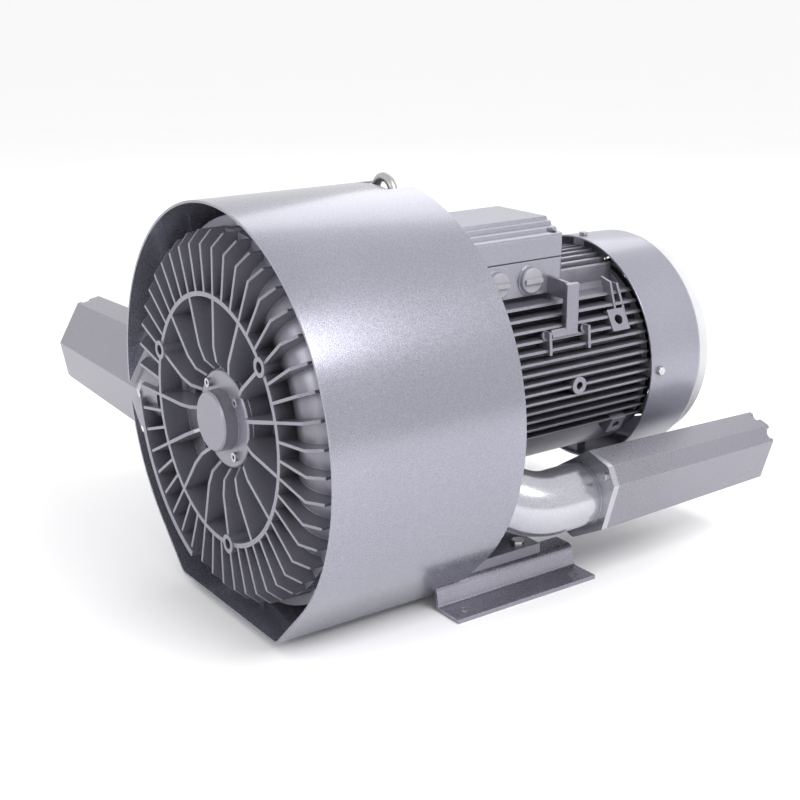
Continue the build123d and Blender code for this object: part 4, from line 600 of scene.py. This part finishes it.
def guard_moulding():
    """Wire rings at even steps of radius, spokes from the first ring to the band, and the band as
    a turned profile with eased corners."""
    rear = COWL_REAR + GUARD_DEPTH
    inner = GUARD_RADIUS - GUARD_BAND
    band = [
        (COWL_REAR, inner),
        (COWL_REAR, GUARD_RADIUS),
        (rear - GUARD_BAND_EASE, GUARD_RADIUS),
        (rear, GUARD_RADIUS - GUARD_BAND_EASE),
        (rear, inner + GUARD_BAND_EASE),
        (rear - GUARD_BAND_EASE, inner),
    ]
    shells = [turned(band)]
    station = rear - GUARD_WIRE
    step = (inner - GUARD_FIRST_RING) / GUARD_RINGS
    for index in range(GUARD_RINGS):
        shells.append(wire_ring(station, GUARD_FIRST_RING + index * step, GUARD_WIRE))
    for turn in around(GUARD_SPOKES):
        start, end = (
            (radius * np.cos(turn), row(station), AXIS_HEIGHT + radius * np.sin(turn))
            for radius in (GUARD_SPOKE_START, GUARD_SPOKE_END)
        )
        shells.append(rod(start, end, GUARD_SPOKE_WIRE))
    save_shells("fan_guard_moulding", "fan_guard", shells)


# Cast lugs on the motor's right side, in millimetres: the outline's (x, height) corners, the
# station of the front face, and the thickness
SIDE_LUGS = (
    (((75, 118), (113, 115), (113, 96), (75, 96)), 386, 4.5),
    (((75, 97), (84, 97), (80, 84), (75, 84)), 386, 4.5),
    (((103, 97), (113, 97), (113, 60), (100, 60)), 386, 4.5),
    (((113, 116), (117, 115), (117, 60), (113, 60)), 380, 17.0),
    (((108, 66), (123, 66), (125, 40), (110, 40)), 350, 3.5),
    (((108, 66), (123, 66), (125, 40), (110, 40)), 407, 3.5),
    (((80, 108), (96, 104), (108, 66), (96, 62)), 463, 3.0),
    (((80, 100), (92, 100), (108, 66), (96, 62)), 477, 3.0),
)


def slab(outline, station, thickness):
    """A flat plate square to the shaft: a convex outline of (x, height) corners at a station, and
    the same outline moved back by the thickness, each closed to its middle."""
    front = np.array([(x, row(station), AXIS_HEIGHT + height) for x, height in outline])
    rear = front + (0.0, thickness, 0.0)
    middle = np.ones((len(outline), 1))
    return np.stack((front.mean(0) * middle, front, rear, rear.mean(0) * middle))


def motor_lugs():
    """The bracket beside the terminal box and the upright ribs that link the side fins."""
    shells = []
    for outline, station, thickness in SIDE_LUGS:
        corners = [(x * MM, height * MM) for x, height in outline]
        shells.append(slab(corners, station * MM, thickness * MM))
    save_shells("motor_side_lugs", "motor_frame", shells, instead=False)


eye_forging()
cowl_pressing()
guard_moulding()
motor_lugs()
made_anew = {"lifting_eye", "fan_cowl", "fan_guard"}
for node in frame["nodes"]:
    if node not in made_anew:
        dressed(node)


# ---------------------------------------------------------------------------
# Studio: pale floor, even sky, soft lamps and the camera
# ---------------------------------------------------------------------------
FLOOR_REACH = 60.0
FLOOR_PATCH_SCALE = 3.0
FLOOR_ROUGHNESS = 0.7
COOL_FLOOR = (0.93, 0.93, 0.94, 1)
WARM_FLOOR = (0.95, 0.95, 0.95, 1)
SKY_COLOUR = (1.0, 1.0, 1.0, 1)
SKY_STRENGTH = 1.0

# What the lamps point at, and each lamp's place, width and power
MACHINE = (0.0, 0.0, 0.2)
LAMPS = {
    "key_lamp": ((1.7, 0.3, 2.0), 1.0, 40.0),
    "fill_lamp": ((0.1, -2.6, 0.9), 1.0, 16.0),
    "rear_lamp": ((-1.6, 1.8, 2.2), 1.6, 12.0),
}


def studio_floor():
    """Flat square floor at height zero."""
    mesh = bpy.data.meshes.new("studio_floor")
    signs = ((-1, -1), (1, -1), (1, 1), (-1, 1))
    corners = [(x * FLOOR_REACH, y * FLOOR_REACH, 0) for x, y in signs]
    mesh.from_pydata(corners, [], [(0, 1, 2, 3)])
    floor = bpy.data.objects.new("studio_floor", mesh)
    bpy.context.scene.collection.objects.link(floor)
    pale = Finish("pale_floor")
    tone = pale.mix(pale.noise(FLOOR_PATCH_SCALE), COOL_FLOOR, WARM_FLOOR)
    mesh.materials.append(pale.close(Base_Color=tone, Roughness=FLOOR_ROUGHNESS))


def soft_lamp(name, spot, size, power):
    """Square area lamp at a spot, turned to the machine: it tilts by the angle between straight
    down and its way there, and swings about the upright to face along it."""
    lamp = bpy.data.lights.new(name, "AREA")
    lamp.size = size
    lamp.energy = power
    holder = bpy.data.objects.new(name, lamp)
    bpy.context.scene.collection.objects.link(holder)
    way = np.array(MACHINE) - np.array(spot)
    level = math.hypot(way[0], way[1])
    holder.location = spot
    holder.rotation_euler = (math.atan2(level, -way[2]), 0, math.atan2(-way[0], way[1]))


studio_floor()
world = bpy.data.worlds.new("studio_sky")
bpy.context.scene.world = world
world.use_nodes = True
sky = world.node_tree.nodes["Background"].inputs
sky["Color"].default_value = SKY_COLOUR
sky["Strength"].default_value = SKY_STRENGTH
for name, (spot, size, power) in LAMPS.items():
    soft_lamp(name, spot, size, power)

CAMERA_SPOT = (1.2126, -0.8902, 0.6682)
CAMERA_AZIMUTH = math.radians(55.584)
CAMERA_ELEVATION = math.radians(17.4927)
CAMERA_ROLL = math.radians(-0.5268)
CAMERA_LENS = 60.33
SENSOR_WIDTH = 36.0
NEAREST_SEEN = 0.05
FARTHEST_SEEN = 200.0

camera = bpy.data.cameras.new("camera")
camera.sensor_width = SENSOR_WIDTH
camera.lens = CAMERA_LENS
camera.clip_start = NEAREST_SEEN
camera.clip_end = FARTHEST_SEEN
camera_holder = bpy.data.objects.new("camera", camera)
bpy.context.scene.collection.objects.link(camera_holder)
ahead = Vector(
    (
        -math.sin(CAMERA_AZIMUTH) * math.cos(CAMERA_ELEVATION),
        math.cos(CAMERA_AZIMUTH) * math.cos(CAMERA_ELEVATION),
        -math.sin(CAMERA_ELEVATION),
    )
)
level_right = ahead.cross(Vector((0, 0, 1))).normalized()
level_up = level_right.cross(ahead)
right = level_right * math.cos(CAMERA_ROLL) + level_up * math.sin(CAMERA_ROLL)
up = level_up * math.cos(CAMERA_ROLL) - level_right * math.sin(CAMERA_ROLL)
pose = Matrix((right, up, -ahead)).transposed().to_4x4()
pose.translation = CAMERA_SPOT
camera_holder.matrix_world = pose
bpy.context.scene.camera = camera_holder
bpy.context.scene.view_settings.view_transform = "Standard"
